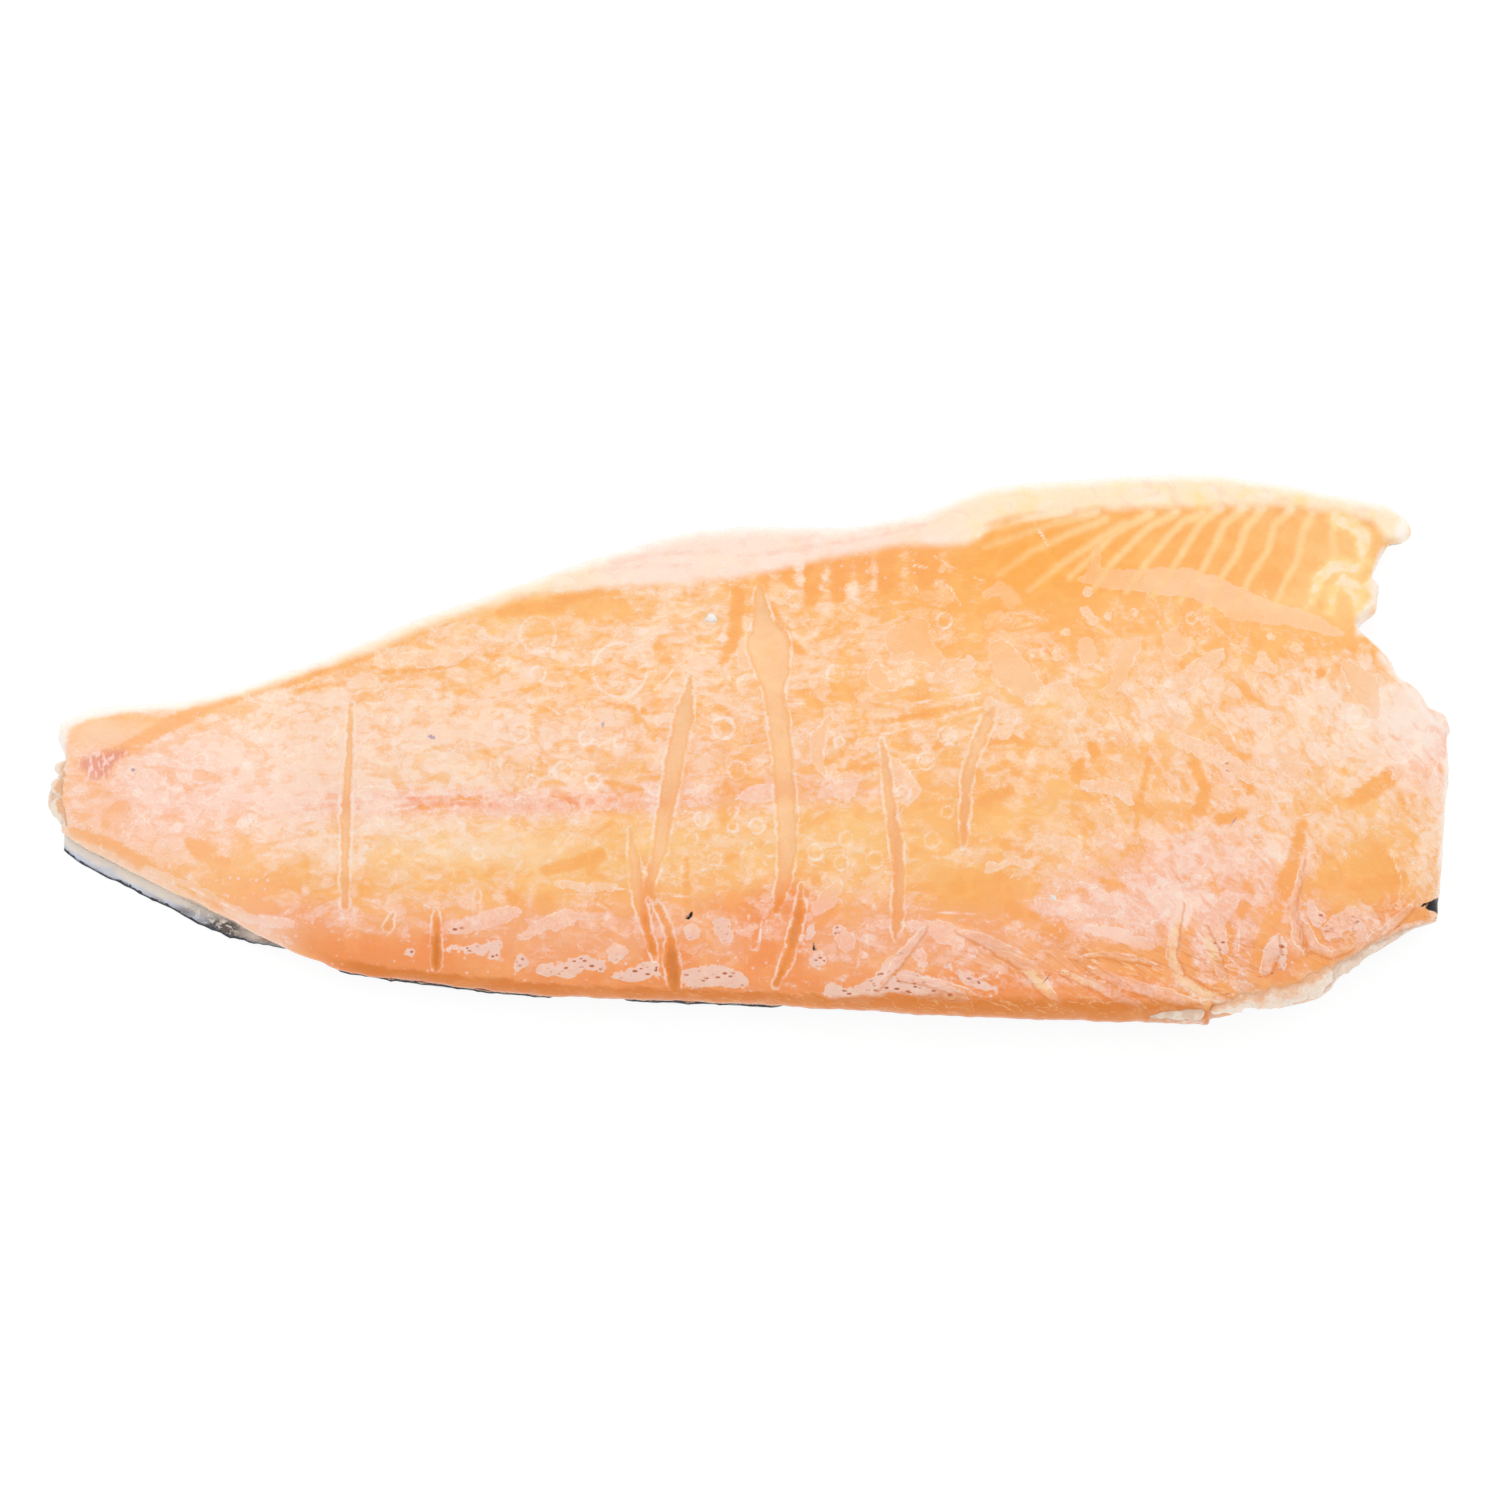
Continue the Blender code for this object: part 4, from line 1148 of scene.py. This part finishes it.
dots = work.fade(work.cells(place, 0.0086), 0.25, 0.17) * dot_spread
# Glints: small painted highlights of the wet glaze.
glints = work.fade(speckle + middling * 0.5, 0.08, 0.22)

frost_amount = soft_fleck * 0.26 + fleck * 0.11 + fleck_border * 0.20
frost_amount += small_fleck * 0.12 + small_border * 0.16
frost_amount += winding_lines * 0.30 + dots * 0.22 + glints * 0.22
frost_amount += speckle * 0.22 + middling * 0.30 + fibre * 0.30
frost_amount -= (hot * 0.16 + bare_fleck * 0.22) * (0.35 + from_tail * 0.65)
frost_amount += 0.03 + more_cover * 0.50 - vivid * 0.08
frost_amount *= 0.22 + work.fade(cover, -0.30, 0.38) * 0.78
frost_amount += veil - streak_mask * 0.52

# Films of smooth glaze, frosted patches with pores, rings of bubbles, and pale lines.
broken = work.fade(work.clouds(place, 0.007, 3.0), 0.36, 0.60)
film_edge = ragged("film", 2.6) + middling * 3.0
film_mask = work.fade(film_edge, 0.20, -0.20)
frost_edge = ragged("frost", 3.0) + middling * 5.0
frost_mask = work.fade(frost_edge, 0.10, -0.14)
ring_mask = mark_mask("ring", 0.8, 0.8, 0.2) * (0.4 + broken * 0.6)
line_mask = mark_mask("line", 1.4, 0.45, -0.15) * (0.35 + broken * 0.65)
film_amount = 0.38 + speckle * 0.25 + broad * 0.4 + pink * 0.25 + veil * 0.6 - vivid * 0.14
frost_amount = frost_amount * (1.0 - film_mask) + film_amount * film_mask
patch_amount = 0.5 + speckle * 0.8 + middling * 0.5 + work.fade(deep, 0.1, 0.5) * 0.1
frost_amount = work.larger(frost_amount, frost_mask * patch_amount)
outlines = work.band(film_edge, 0.1, 0.34) * 0.40 + work.band(frost_edge, -0.05, 0.36) * 0.36
frost_amount += outlines * (0.25 + broken * 0.75) + ring_mask * 0.54
frost_amount = work.larger(frost_amount, line_mask * 0.8)

frost_tone = work.paint(PALE_FROST, CREAM_FROST, work.fade(yellow, 0.1, 0.8))
frost_tone = work.paint(frost_tone, PINK_FROST, work.fade(pink, 0.0, 0.5))
colour = work.paint(colour, frost_tone, work.ramp(frost_amount, -0.10, 0.62))
colour = work.paint(colour, WHITE_FROST, work.ramp(frost_amount, 0.46, 1.1) * 0.95)
by_back = work.fade(deep, 0.10, 0.35)
colour = work.paint(colour, PATCH_PINK, frost_mask * by_back * 0.55)
pores = work.fade(work.cells(work.place((2.0, 1.0, 1.0)), 0.0015), 0.37, 0.25)
pore_mask = pores * work.fade(frost_edge, -0.4, -0.9) * work.fade(deep, 0.05, 0.18)
colour = work.paint(colour, PORE_BROWN, pore_mask * work.fade(middling, -0.14, 0.02))
crumbs = work.fade(work.cells(place, 0.0032), 0.24, 0.12) * by_back
colour = work.paint(colour, PINK_FROST, crumbs * work.fade(middling, -0.06, 0.06))

# What is left of the nerve line along the middle.
nerve_mask = mark_mask("nerve", 2.2, 0.7, -0.7) * (0.25 + broken * 0.45)
colour = work.paint(colour, NERVE_RED, nerve_mask)

# Folds in the glaze by the back: a greyish ribbon, with a painted highlight along its upper edge and a
# painted brown shadow along its lower edge.
fold = ragged("fold", 1.6) + middling * 1.6
fold_mask = work.fade(fold, 0.35, -0.9)
fold_tone = work.paint(FOLD_GREY, PINK_FROST, work.fade(warm + cover * 0.12, -0.04, 0.14))
fold_tone = work.paint(fold_tone, WHITE_FROST, small_fleck * 0.25)
fold_tone = work.paint(fold_tone, CREAM_FROST, work.fade(veil, 0.10, 0.30))
fold_share = fold_mask * (0.66 + (speckle + middling) * 1.8)
colour = work.paint(colour, fold_tone, fold_share)
# Painted highlight along the upper edge of each fold.
fold_highlight = work.fade(lean, 0.6, -0.6) * work.band(fold, 0.05, 0.42)
colour = work.paint(colour, WHITE_FROST, fold_highlight * (0.15 + broken * 0.65))
# Painted shadow, in brown, along the lower edge of each fold.
fold_shadow = work.fade(lean, -0.4, 0.8) * work.band(fold, 0.45, 0.85)
colour = work.paint(colour, BROWN_AND_SHADE, fold_shadow * 0.5)
wrinkle_level = work.clouds(work.place((6.0, 1.0, 1.0), math.radians(-28)), 0.0034, 3.0, 0.5, 0.8)
brown_wrinkles = work.band(wrinkle_level, 0.46, 0.035) * creased
colour = work.paint(colour, BROWN_AND_SHADE, brown_wrinkles * 0.55)
pale_wrinkles = work.band(wrinkle_level, 0.53, 0.026) * creased
colour = work.paint(colour, WHITE_FROST, pale_wrinkles * (0.1 + broken * 0.45))
colour = work.paint(colour, FISSURE_RED, mark_mask("dark_line", 0.5, 0.22, -0.1) * 0.75)

# Creases: a smooth trough between two pale ridges, which come and go.
crease_edge = ragged("crease", 1.6) + middling * 2.4
trough_mask = work.fade(crease_edge, 0.15, -0.45)
trough_colour = work.paint(TROUGH, DEEP_ORANGE, deep + work.fade(pink, 0.15, 0.6) * 0.4)
trough_colour = work.paint(trough_colour, BROWN_AND_SHADE, work.fade(deep, 0.7, 1.5))
trough_colour = work.shaded(trough_colour, 1.0 + middling * 0.12 + broad * 0.2)
trough_colour = work.paint(trough_colour, HOT_ORANGE, work.band(crease_edge, -0.55, 0.6) * 0.35)
colour = work.paint(colour, trough_colour, trough_mask * 0.88)
ridge_mask = work.band(crease_edge, 0.66, 0.36 + broken * 0.34)
colour = work.paint(colour, WHITE_FROST, ridge_mask * (0.2 + broken * 0.52))

# The wall of the belly: pale membranes between blocks of muscle, then the fat edge, whiter where it is thin.
stripe_edge = ragged("stripe", 1.4)
stripe_shown = 0.55 + work.fade(film_edge, -0.3, 0.3) * 0.45
stripe_shown *= 0.52 + zone(0.085, 0.135) * 0.48
stripe_mask = work.fade(stripe_edge, 1.4, -1.0) * stripe_shown * zone(0.0, 0.03)
colour = work.paint(colour, STRIPE_PALE, stripe_mask * 0.95)
glowing = mark_mask("glowing_fat", 2.4, 2.6, -0.8)
colour = work.paint(colour, FAT_YELLOW, glowing * 0.8)
colour = work.paint(colour, EDGE_WHITE, work.fade(glowing, 0.55, 1.0) * broken * 0.5)
fat_edge = fat + (work.clouds(place, 0.0095, 4.0, 0.6) - 0.5) * 3.0
fat_edge -= work.fade(stripe_edge, 1.6, -0.8) * 1.4
fat_mask = work.fade(fat_edge, 1.9, -2.4)
fat_tone = work.paint(FAT_PINK, FAT_CREAM, zone(0.052, 0.090))
fat_tone = work.paint(FAT_CREAM, fat_tone, zone(-0.070, -0.040))
fat_yellow = 0.15 + zone(0.05, 0.09) * 0.5
fat_tone = work.paint(fat_tone, FAT_YELLOW, work.fade(work.clouds(place, 0.01, 3.0), 0.5, 0.72) * fat_yellow)
fat_tone = work.paint(fat_tone, PINK_FROST, work.fade(warm, 0.04, 0.16) * 0.35)
fat_tone = work.paint(fat_tone, WHITE_FROST, work.fade(middling, 0.02, 0.22) * 0.5)
rose_mask = mark_mask("rose_line", 2.2, 1.0, -0.4) * (0.15 + broken * 0.55)
fat_tone = work.paint(fat_tone, FAT_ROSE, rose_mask)
colour = work.paint(colour, fat_tone, fat_mask)
thin_edge = work.fade(from_belly + middling * 5.0, 4.6, 0.4)
colour = work.paint(colour, EDGE_WHITE, thin_edge * 0.8)

# The rim of the back, where no frost lies: painted darker and browner, partly its own browner colour and
# partly painted shade where the rim turns down away from the light.
rim_zone = zone(0.03, 0.055) * zone(0.16, 0.15)
rim_reach = 3.4 + rim_zone * 2.6
rim_level = (from_back + middling * 4.0) / rim_reach
rim_shade_mask = work.fade(rim_level, 1.15, 0.7) * zone(-0.15, -0.13)
rim_shade_mask *= zone(0.168, 0.156)
rim_tone = work.paint(BROWN_AND_SHADE, STRIPE_PALE, pale_wrinkles * 0.45)
colour = work.paint(colour, rim_tone, rim_shade_mask * 0.85)

# Small marks, the crust of rime on the edges, and the wall of the sides painted darker and browner: partly
# its own colour, partly painted shade.
blood_flecks = work.clouds(work.place((1.0, 2.5, 1.0)), 0.0014, 2.0)
red_tone = work.paint(SPOT_RED, PALE_RED, work.fade(blood_flecks, 0.48, 0.62))
colour = work.paint(colour, red_tone, mark_mask("red_spot", 3.0, 1.8, -1.2) * 0.85)
rime_tone = work.paint(RIME_GREY, RIME_WHITE, work.fade(middling + speckle, -0.12, 0.14))
rime_mask = mark_mask("rime", 5.5, 1.0, -2.6)
colour = work.paint(colour, rime_tone, rime_mask * 0.8)
colour = work.paint(colour, EDGE_WHITE, mark_mask("fringe", 2.0, 1.5, -1.5) * 0.85)
membranes = work.cells(work.place((1.0, 1.0, 4.0), math.radians(24)), 0.0075)
side_tone = work.paint(SIDE_SHADE_BROWN, STRIPE_PALE, work.fade(membranes, 0.55, 0.75) * 0.5)
by_flare = zone(-0.148, -0.170)
side_tone = work.paint(side_tone, FAT_PINK, by_flare)
# By the tail the wall is painted near white: partly the pale edge of the flesh, partly painted light over the
# shade of the gap between flesh and skin.
by_wall = by_flare * work.fade(side, 0.05, 0.3)
by_skin = work.fade(from_back + middling * 6.0, 9.5, 5.5) * by_flare
colour = work.paint(colour, FAT_PINK, by_skin * 0.42)
# Painted shade on the wall of the sides, in brown, which is partly the wall's own colour.
shaded_side_mask = work.fade(side, -0.08, 0.25) * (1.0 - fat_mask * 0.8)
shaded_side_mask *= 1.0 - rime_mask * 0.7
colour = work.paint(colour, side_tone, shaded_side_mask * 0.8)
# Painted light on the wall by the tail, over the shade of the gap at the skin.
colour = work.paint(colour, EDGE_WHITE, by_wall * 0.7)
colour = work.paint(colour, SPECK_BLUE, mark_mask("faint_speck", 0.9, 0.25, -0.25) * 0.8)
speck_mask = mark_mask("speck", 0.8, 0.2, -0.2) * work.fade(side, 0.3, 0.05)
colour = work.paint(colour, SPECK_BLACK, speck_mask)

grain_shade, grain_height = work.grain(0.0006, 0.070)
frosted = work.larger(work.fade(frost_amount, 0.1, 0.9), fat_mask * 0.5) * (1.0 - trough_mask)
height = work.larger(fleck, frost_mask) * 0.05 + fleck_border * 0.05 + small_fleck * 0.03
height += ring_mask * 0.10 + fibre * 0.06 + grain_height
looks = {
    "Base Color": work.shaded(colour, grain_shade),
    "Roughness": 0.24 + frosted * 0.26,
    "Coat Weight": (0.75 - frosted * 0.45) * (1.0 - speck_mask),
    "Normal": relief(work, height, 0.8),
}
dress(flesh, flesh_material, work, looks)
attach(flesh, "root")
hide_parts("flesh")


# Edge ice
# Glaze that ran off the fillet and froze there, in milky lumps: a thin crust stuck to the cut end of the
# tail and to the back edge by the shoulder, and two white chips on the cut face.
TAIL_ICE = (
    ((67, 761, 3), (62, 769, 6), (65, 778, 4)), ((63, 778, 4), (57, 787, 7), (62, 797, 4)),
    ((61, 797, 4), (57, 806, 7), (63, 818, 5), (67, 827, 2)),
)
CORNER_ICE = (
    ((1210, 1011, 3), (1230, 1004, 8), (1252, 997, 11), (1276, 995, 12), (1300, 989, 13), (1318, 979, 12),
     (1331, 968, 9)),
)
THIN_ICE = (
    ((1148, 1014, 3), (1168, 1012, 6), (1188, 1011, 8), (1205, 1011, 7)),
    ((1326, 974, 7), (1350, 960, 8), (1370, 947, 7), (1392, 935, 5), (1414, 925, 3), (1430, 919, 2)),
)
CHIPS = (
    ((705, 621, 3), (711, 619, 5), (718, 621, 3)), ((1049, 895, 1.4), (1054, 898, 2.6), (1057, 901, 1.4)),
)
ICE_DEPTH_SHARE = 0.55
THIN_DEPTH_SHARE = 0.30
ICE_SINK = 0.0003
ICE_STEP = 0.0005
FEWEST_ICE_RINGS = 12
ICE_SIDES = 16
ICE_TIP = 0.00005
ICE_SEED = 60
ICE_LUMPS = ((0.0070, 0.40), (0.0032, 0.34), (0.0014, 0.16))
# At the height of the ice, a pixel is this much on the fillet.
PIXEL_REACH = PIXEL * 1.006


def scene_place(x, y, height):
    """The place in the scene at this height that the camera sees at this pixel."""
    middle = PICTURE_SIZE / 2
    ray = FORWARD + np.array((x - middle, 0.0, 0.0)) * PIXEL / CAMERA_DISTANCE
    ray = ray + UPWARD * (middle - y) * PIXEL / CAMERA_DISTANCE
    return EYE + ray * (height - EYE[2]) / ray[2]


def ice_run(run, depth_share):
    """A lumpy bar along a chain of (x, y, half-width) pixels, lying on the fillet's surface or edge."""
    top_x, top_y = x[on_top], y[on_top]
    centres = []
    for spot_x, spot_y, _ in run:
        nearest = np.argmin(np.hypot(top_x - spot_x, top_y - spot_y))
        centres.append(scene_place(spot_x, spot_y, points[nearest, 2] - ICE_SINK))
    centres = np.array(centres)
    line, shares = smooth_curve(centres[:, :2])
    length = np.hypot(*np.diff(line, axis=0).T).sum()
    stations = np.linspace(0.0, 1.0, max(int(length / ICE_STEP), FEWEST_ICE_RINGS))
    knots = shares[::CURVE_STEPS]
    middle_line = np.stack([np.interp(stations, shares, line[:, axis]) for axis in (0, 1)], axis=-1)
    height = np.interp(stations, knots, centres[:, 2])
    reach = np.interp(stations, knots, [spot[2] for spot in run]) * PIXEL_REACH
    end_gap = np.minimum(stations, 1 - stations) * length
    reach = reach * rounded(end_gap, reach) + ICE_TIP
    along_line = np.gradient(middle_line, axis=0)
    along_line /= np.hypot(*along_line.T)[:, None]
    aside = np.stack([-along_line[:, 1], along_line[:, 0]], axis=-1)
    turn = np.linspace(0.0, 2 * math.pi, ICE_SIDES, endpoint=False)
    ring_plan = middle_line[:, None] + aside[:, None] * (reach[:, None] * np.cos(turn))[..., None]
    ring_height = height[:, None] + depth_share * reach[:, None] * np.sin(turn)
    rings = raised(ring_plan, ring_height)
    centre_line = raised(middle_line, height)[:, None]
    lumps = sum(rise * rough_values(rings.reshape(-1, 3), size, ICE_SEED) for size, rise in ICE_LUMPS)
    swell = 1 + lumps.reshape(rings.shape[:2])
    inward = -middle_line / np.hypot(*middle_line.T)[:, None]
    inner = ((ring_plan - middle_line[:, None]) * inward[:, None]).sum(axis=-1) / reach[:, None]
    return centre_line + (rings - centre_line) * swell[..., None], inner


ice_points = []
ice_faces = []
ice_marks = {"inner": [], "thin": []}
count = 0
for run in TAIL_ICE + CORNER_ICE + THIN_ICE + CHIPS:
    is_thin = run in THIN_ICE
    rings, inner = ice_run(run, THIN_DEPTH_SHARE if is_thin else ICE_DEPTH_SHARE)
    corner = count + np.arange(inner.size).reshape(inner.shape)
    for ring, after in zip(corner, corner[1:]):
        ice_faces += band_faces(after, ring)
    ice_faces += [corner[0].tolist(), corner[-1][::-1].tolist()]
    ice_points += rings.reshape(-1, 3).tolist()
    ice_marks["inner"] += [-1.0] * inner.size if run in CHIPS else inner.reshape(-1).tolist()
    ice_marks["thin"] += [float(is_thin)] * inner.size
    count += inner.size
ice = mesh_piece("edge_ice", ice_points, ice_faces, ice_marks)

ICE_MILK = screen_colour(238, 222, 206)
ICE_WHITE = screen_colour(250, 242, 234)
ICE_PEACH = screen_colour(228, 166, 116)
ICE_SHADE = screen_colour(212, 186, 166)

ice_material, work = new_finish(
    "milky_ice",
    {
        "IOR": 1.31,
        "Coat IOR": 1.31,
        "Subsurface Weight": 0.35,
        "Subsurface Radius": (1.0, 0.9, 0.8),
        "Subsurface Scale": 0.003,
    },
)
place = work.place()
milky = work.clouds(place, 0.0040, 3.0, 0.55, 0.4)
veins = work.clouds(place, 0.0016, 3.0, 0.6)
colour = work.paint(ICE_MILK, ICE_WHITE, work.fade(milky, 0.46, 0.64))
colour = work.paint(colour, ICE_SHADE, work.fade(veins, 0.44, 0.32) * 0.6)
over_flesh = work.mark("inner") + (milky - 0.5) * 3.2
colour = work.paint(colour, ICE_PEACH, work.fade(over_flesh, -0.7, 0.35) * 0.85)
colour = work.paint(colour, ICE_SHADE, work.mark("thin") * (0.55 + (milky - 0.5) * 2.0))
grain_shade, grain_height = work.grain(0.0006, 0.05)
looks = {
    "Base Color": work.shaded(colour, grain_shade),
    "Roughness": 0.16 + milky * 0.3,
    "Coat Weight": 0.35 + milky * 0.4,
    "Normal": relief(work, veins * 0.25 + grain_height, 0.8),
}
dress(ice, ice_material, work, looks)
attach(ice, "root")


# Skin
# Wet fish skin about a millimetre thick, scaly outside and silvery inside. It lies flat under the flesh
# and turns up round the back. Near the tail it sticks out beyond the flesh, with a black rim.
SKIN_COLUMNS = 280
SKIN_TURN_ROWS = 16
SKIN_FLAT_ROWS = 74
SKIN_EDGE_TUCK = 0.0009
SKIN_NICKS = ((0.006, 0.0006), (0.0022, 0.0005))
NICKED_SHARE = 0.035
# The silver strip of the inner face that shows near the tail: how wide it is as a share of the skin, the
# pixels from the left where it turns cream, its dark lumps, where it has no black rim, and its bubble.
STRIP_SHARE = 0.075
STRIP_END = (200.0, 260.0)
SKIN_LUMPS = ((220, 930, 24, 13, 1.6), (180, 912, 20, 6, 0.8), (262, 945, 24, 6, 0.5))
RIMLESS = ((285, 950, 44, 30, 1.3),)
BUBBLES = ((227, 930, 5),)


def skin_faces(along, row_share):
    """The outer and the inner face of the skin. Rows run from the top of the back turn to the belly edge."""
    turn_rows = SKIN_TURN_ROWS / (SKIN_TURN_ROWS + SKIN_FLAT_ROWS)
    angle = np.clip(row_share / turn_rows, 0.0, 1.0) * math.pi / 2
    flat = np.clip((row_share - turn_rows) / (1 - turn_rows), 0.0, 1.0)
    width = width_at(along)
    height, turn_inset = skin_turn(point_on(back_curve, along)[..., 0])
    turn_end = turn_inset + SKIN_TURN_REACH
    end = width - SKIN_EDGE_TUCK
    outer_distance = turn_inset + SKIN_TURN_REACH * (1 - np.cos(angle)) + flat * (end - turn_end)
    inner_distance = outer_distance + SKIN_THICKNESS * np.cos(angle)
    outer_height = height * (1 - np.sin(angle))
    inner_height = outer_height + SKIN_THICKNESS * np.sin(angle)
    outer = raised(plan(along, outer_distance / width), outer_height)
    return outer, raised(plan(along, inner_distance / width), inner_height)


tuck_share = SKIN_EDGE_TUCK / FISH_LENGTH
skin_along, skin_row = np.meshgrid(
    np.linspace(tuck_share * 0.3, 1 - tuck_share, SKIN_COLUMNS),
    np.linspace(0.0, 1.0, SKIN_TURN_ROWS + SKIN_FLAT_ROWS + 1),
    indexing="ij",
)
outer, inner = skin_faces(skin_along, skin_row)
corner, up_faces = grid_faces(*skin_along.shape)
count = corner.size
down_faces = [[index + count for index in reversed(face)] for face in up_faces]
skin_points = np.concatenate([inner.reshape(-1, 3), outer.reshape(-1, 3)])
border = loop_round(corner)
skin_mesh_faces = up_faces + down_faces + band_faces(border, border + count)
from_top_rim = np.tile(skin_row.reshape(-1), 2)
by_top_rim = 1 - smooth_step(0.0, NICKED_SHARE, from_top_rim)
for number, (size, reach) in enumerate(SKIN_NICKS):
    for axis in (1, 2):
        seed = 30 + 10 * axis + number
        skin_points[:, axis] += reach * by_top_rim * rough_values(skin_points, size, seed)
skin_x, skin_y = picture_place(skin_points)
skin_marks = {
    "inside": np.repeat([1.0, 0.0], count),
    "from_top_rim": from_top_rim,
    "strip": np.clip(from_top_rim / STRIP_SHARE, 0.0, 1.5) + smooth_step(*STRIP_END, skin_x),
    "lump": stains(skin_x, skin_y, SKIN_LUMPS),
    "rimless": stains(skin_x, skin_y, RIMLESS),
    "bubble": nearest_ring(skin_x, skin_y, BUBBLES) * PIXEL_IN_MM,
}
skin = mesh_piece("fillet_skin", skin_points, skin_mesh_faces, skin_marks)

SKIN_BACK_BLUE = screen_colour(58, 66, 78)
SKIN_SIDE_GREY = screen_colour(140, 148, 156)
SKIN_BELLY_SILVER = screen_colour(216, 218, 214)
SKIN_SPOT = screen_colour(28, 30, 34)
SKIN_INNER_CREAM = screen_colour(240, 234, 224)
SKIN_INNER_BLUE = screen_colour(206, 214, 230)
SKIN_LUMP_GREY = screen_colour(96, 86, 80)
SKIN_RIM_BLACK = screen_colour(44, 46, 52)
SCALE_SIZE = 0.0034

skin_material, work = new_finish(
    "wet_skin", {"IOR": 1.40, "Coat Roughness": 0.12, "Coat IOR": 1.33, "Specular IOR Level": 0.6}
)
from_top_rim = work.mark("from_top_rim")
place = work.place()
patchy = work.clouds(place, 0.020, 4.0, 0.55)
belly_share = from_top_rim + (patchy - 0.5) * 0.18
colour = work.paint(SKIN_BACK_BLUE, SKIN_SIDE_GREY, work.fade(belly_share, 0.12, 0.46))
colour = work.paint(colour, SKIN_BELLY_SILVER, work.fade(belly_share, 0.42, 0.72))
scale_place = work.place((1.25, 1.0, 1.0))
scale_edge = work.cells(scale_place, SCALE_SIZE, "DISTANCE_TO_EDGE")
scale_middle = work.cells(scale_place, SCALE_SIZE)
colour = work.shaded(colour, 0.8 + work.fade(scale_edge, 0.0, 0.12) * 0.26)
spot_noise = work.cells(work.place((1.3, 1.0, 1.0)), 0.017)
spots = work.fade(spot_noise, 0.2, 0.15) * work.fade(belly_share, 0.52, 0.36)
colour = work.paint(colour, SKIN_SPOT, spots * 0.9)
lateral = work.band(from_top_rim + (patchy - 0.5) * 0.012, 0.42, 0.01)
colour = work.paint(colour, SKIN_SPOT, lateral * 0.35)
inner_level = work.mark("strip") + (work.clouds(place, 0.008, 3.0) - 0.5) * 1.6
inner_tone = work.paint(SKIN_INNER_BLUE, SKIN_INNER_CREAM, work.fade(inner_level, 0.30, 1.10))
mottle = work.mark("lump") * work.fade(work.clouds(place, 0.0022, 3.0, 0.6), 0.32, 0.52)
inner_tone = work.paint(inner_tone, SKIN_LUMP_GREY, mottle * 0.9)
ring_edge = work.mark("bubble") + (work.clouds(place, 0.002, 3.0) - 0.5) * 0.5
inner_tone = work.paint(inner_tone, SKIN_INNER_CREAM, work.fade(ring_edge, 0.45, 0.10))
inside_mask = work.mark("inside")
colour = work.paint(colour, inner_tone, inside_mask)
rim_wobble = (work.clouds(place, 0.0045, 4.0, 0.65) - 0.5) * 0.03
black_rim = work.fade(from_top_rim + rim_wobble, 0.005, 0.002)
rim_noise = work.clouds(place, 0.0016, 3.0, 0.6) - 0.5
black_rim *= work.fade(inside_mask + rim_noise * 1.6, 0.7, 0.4)
colour = work.paint(colour, SKIN_RIM_BLACK, black_rim * work.fade(work.mark("rimless"), 0.9, 0.5))
grain_shade, grain_height = work.grain(0.0005, 0.05)
silver = work.fade(belly_share, 0.15, 0.6) * (1.0 - inside_mask)
scale_height = work.fade(scale_middle, 0.75, 0.1) * (1.0 - inside_mask)
looks = {
    "Base Color": work.shaded(colour, grain_shade),
    "Metallic": silver * 0.35,
    "Roughness": 0.26 + patchy * 0.16,
    "Coat Weight": 0.4 + patchy * 0.3,
    "Normal": relief(work, scale_height * 0.14 + grain_height, 0.9),
}
dress(skin, skin_material, work, looks)
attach(skin, "root")
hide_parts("skin")


# Floor and light
# A pale matt floor under a bright, even studio sky, with one wide soft lamp above the belly side.
# The floor is clear from below, so that the fillet's underside can be looked at too.
FLOOR_SIZE = 30.0
FLOOR_DROP = 0.0002
FLOOR_TONE = screen_colour(112, 112, 112)
FLOOR_LIGHT_TONE = screen_colour(116, 116, 116)
FLOOR_GLOW = 0.87
SKY_STRENGTH = 0.95
LAMP_PLACE = (0.25, 1.15, 1.15)
LAMP_SIZE = 1.1
LAMP_POWER = 5.0

reach = FLOOR_SIZE / 2
floor_corners = [(-reach, -reach), (reach, -reach), (reach, reach), (-reach, reach)]
floor = mesh_piece("floor", [(*corner, -FLOOR_DROP) for corner in floor_corners], [(0, 1, 2, 3)], {})
floor_material, work = new_finish(
    "pale_floor", {"Emission Strength": FLOOR_GLOW, "Specular IOR Level": 0.1, "Roughness": 0.8}
)
tone = work.fade(work.clouds(work.place(), 0.002, 2.0), 0.2, 0.8)
dress(floor, floor_material, work, {"Base Color": work.paint(FLOOR_TONE, FLOOR_LIGHT_TONE, tone)})
floor_nodes = floor_material.node_tree.nodes
from_below = work.add("ShaderNodeNewGeometry", "Backfacing", {})
clear = work.add("ShaderNodeBsdfTransparent", "BSDF", {})
plain = Value(work, floor_nodes["Principled BSDF"].outputs["BSDF"])
surface = work.add("ShaderNodeMixShader", "Shader", {0: from_below, 1: plain, 2: clear})
work.feed(floor_nodes["Material Output"].inputs["Surface"], surface)

sky = bpy.data.worlds.new("sky")
sky.use_nodes = True
sky.node_tree.nodes["Background"].inputs["Color"].default_value = (1.0, 1.0, 1.0, 1.0)
sky.node_tree.nodes["Background"].inputs["Strength"].default_value = SKY_STRENGTH
bpy.context.scene.world = sky

lamp_data = bpy.data.lights.new("soft_lamp", "AREA")
lamp_data.energy = LAMP_POWER
lamp_data.size = LAMP_SIZE
lamp = bpy.data.objects.new("soft_lamp", lamp_data)
lamp.location = LAMP_PLACE
lamp.rotation_euler = (-Vector(LAMP_PLACE)).to_track_quat("-Z", "Y").to_euler()
lamp.visible_glossy = False
bpy.context.scene.collection.objects.link(lamp)
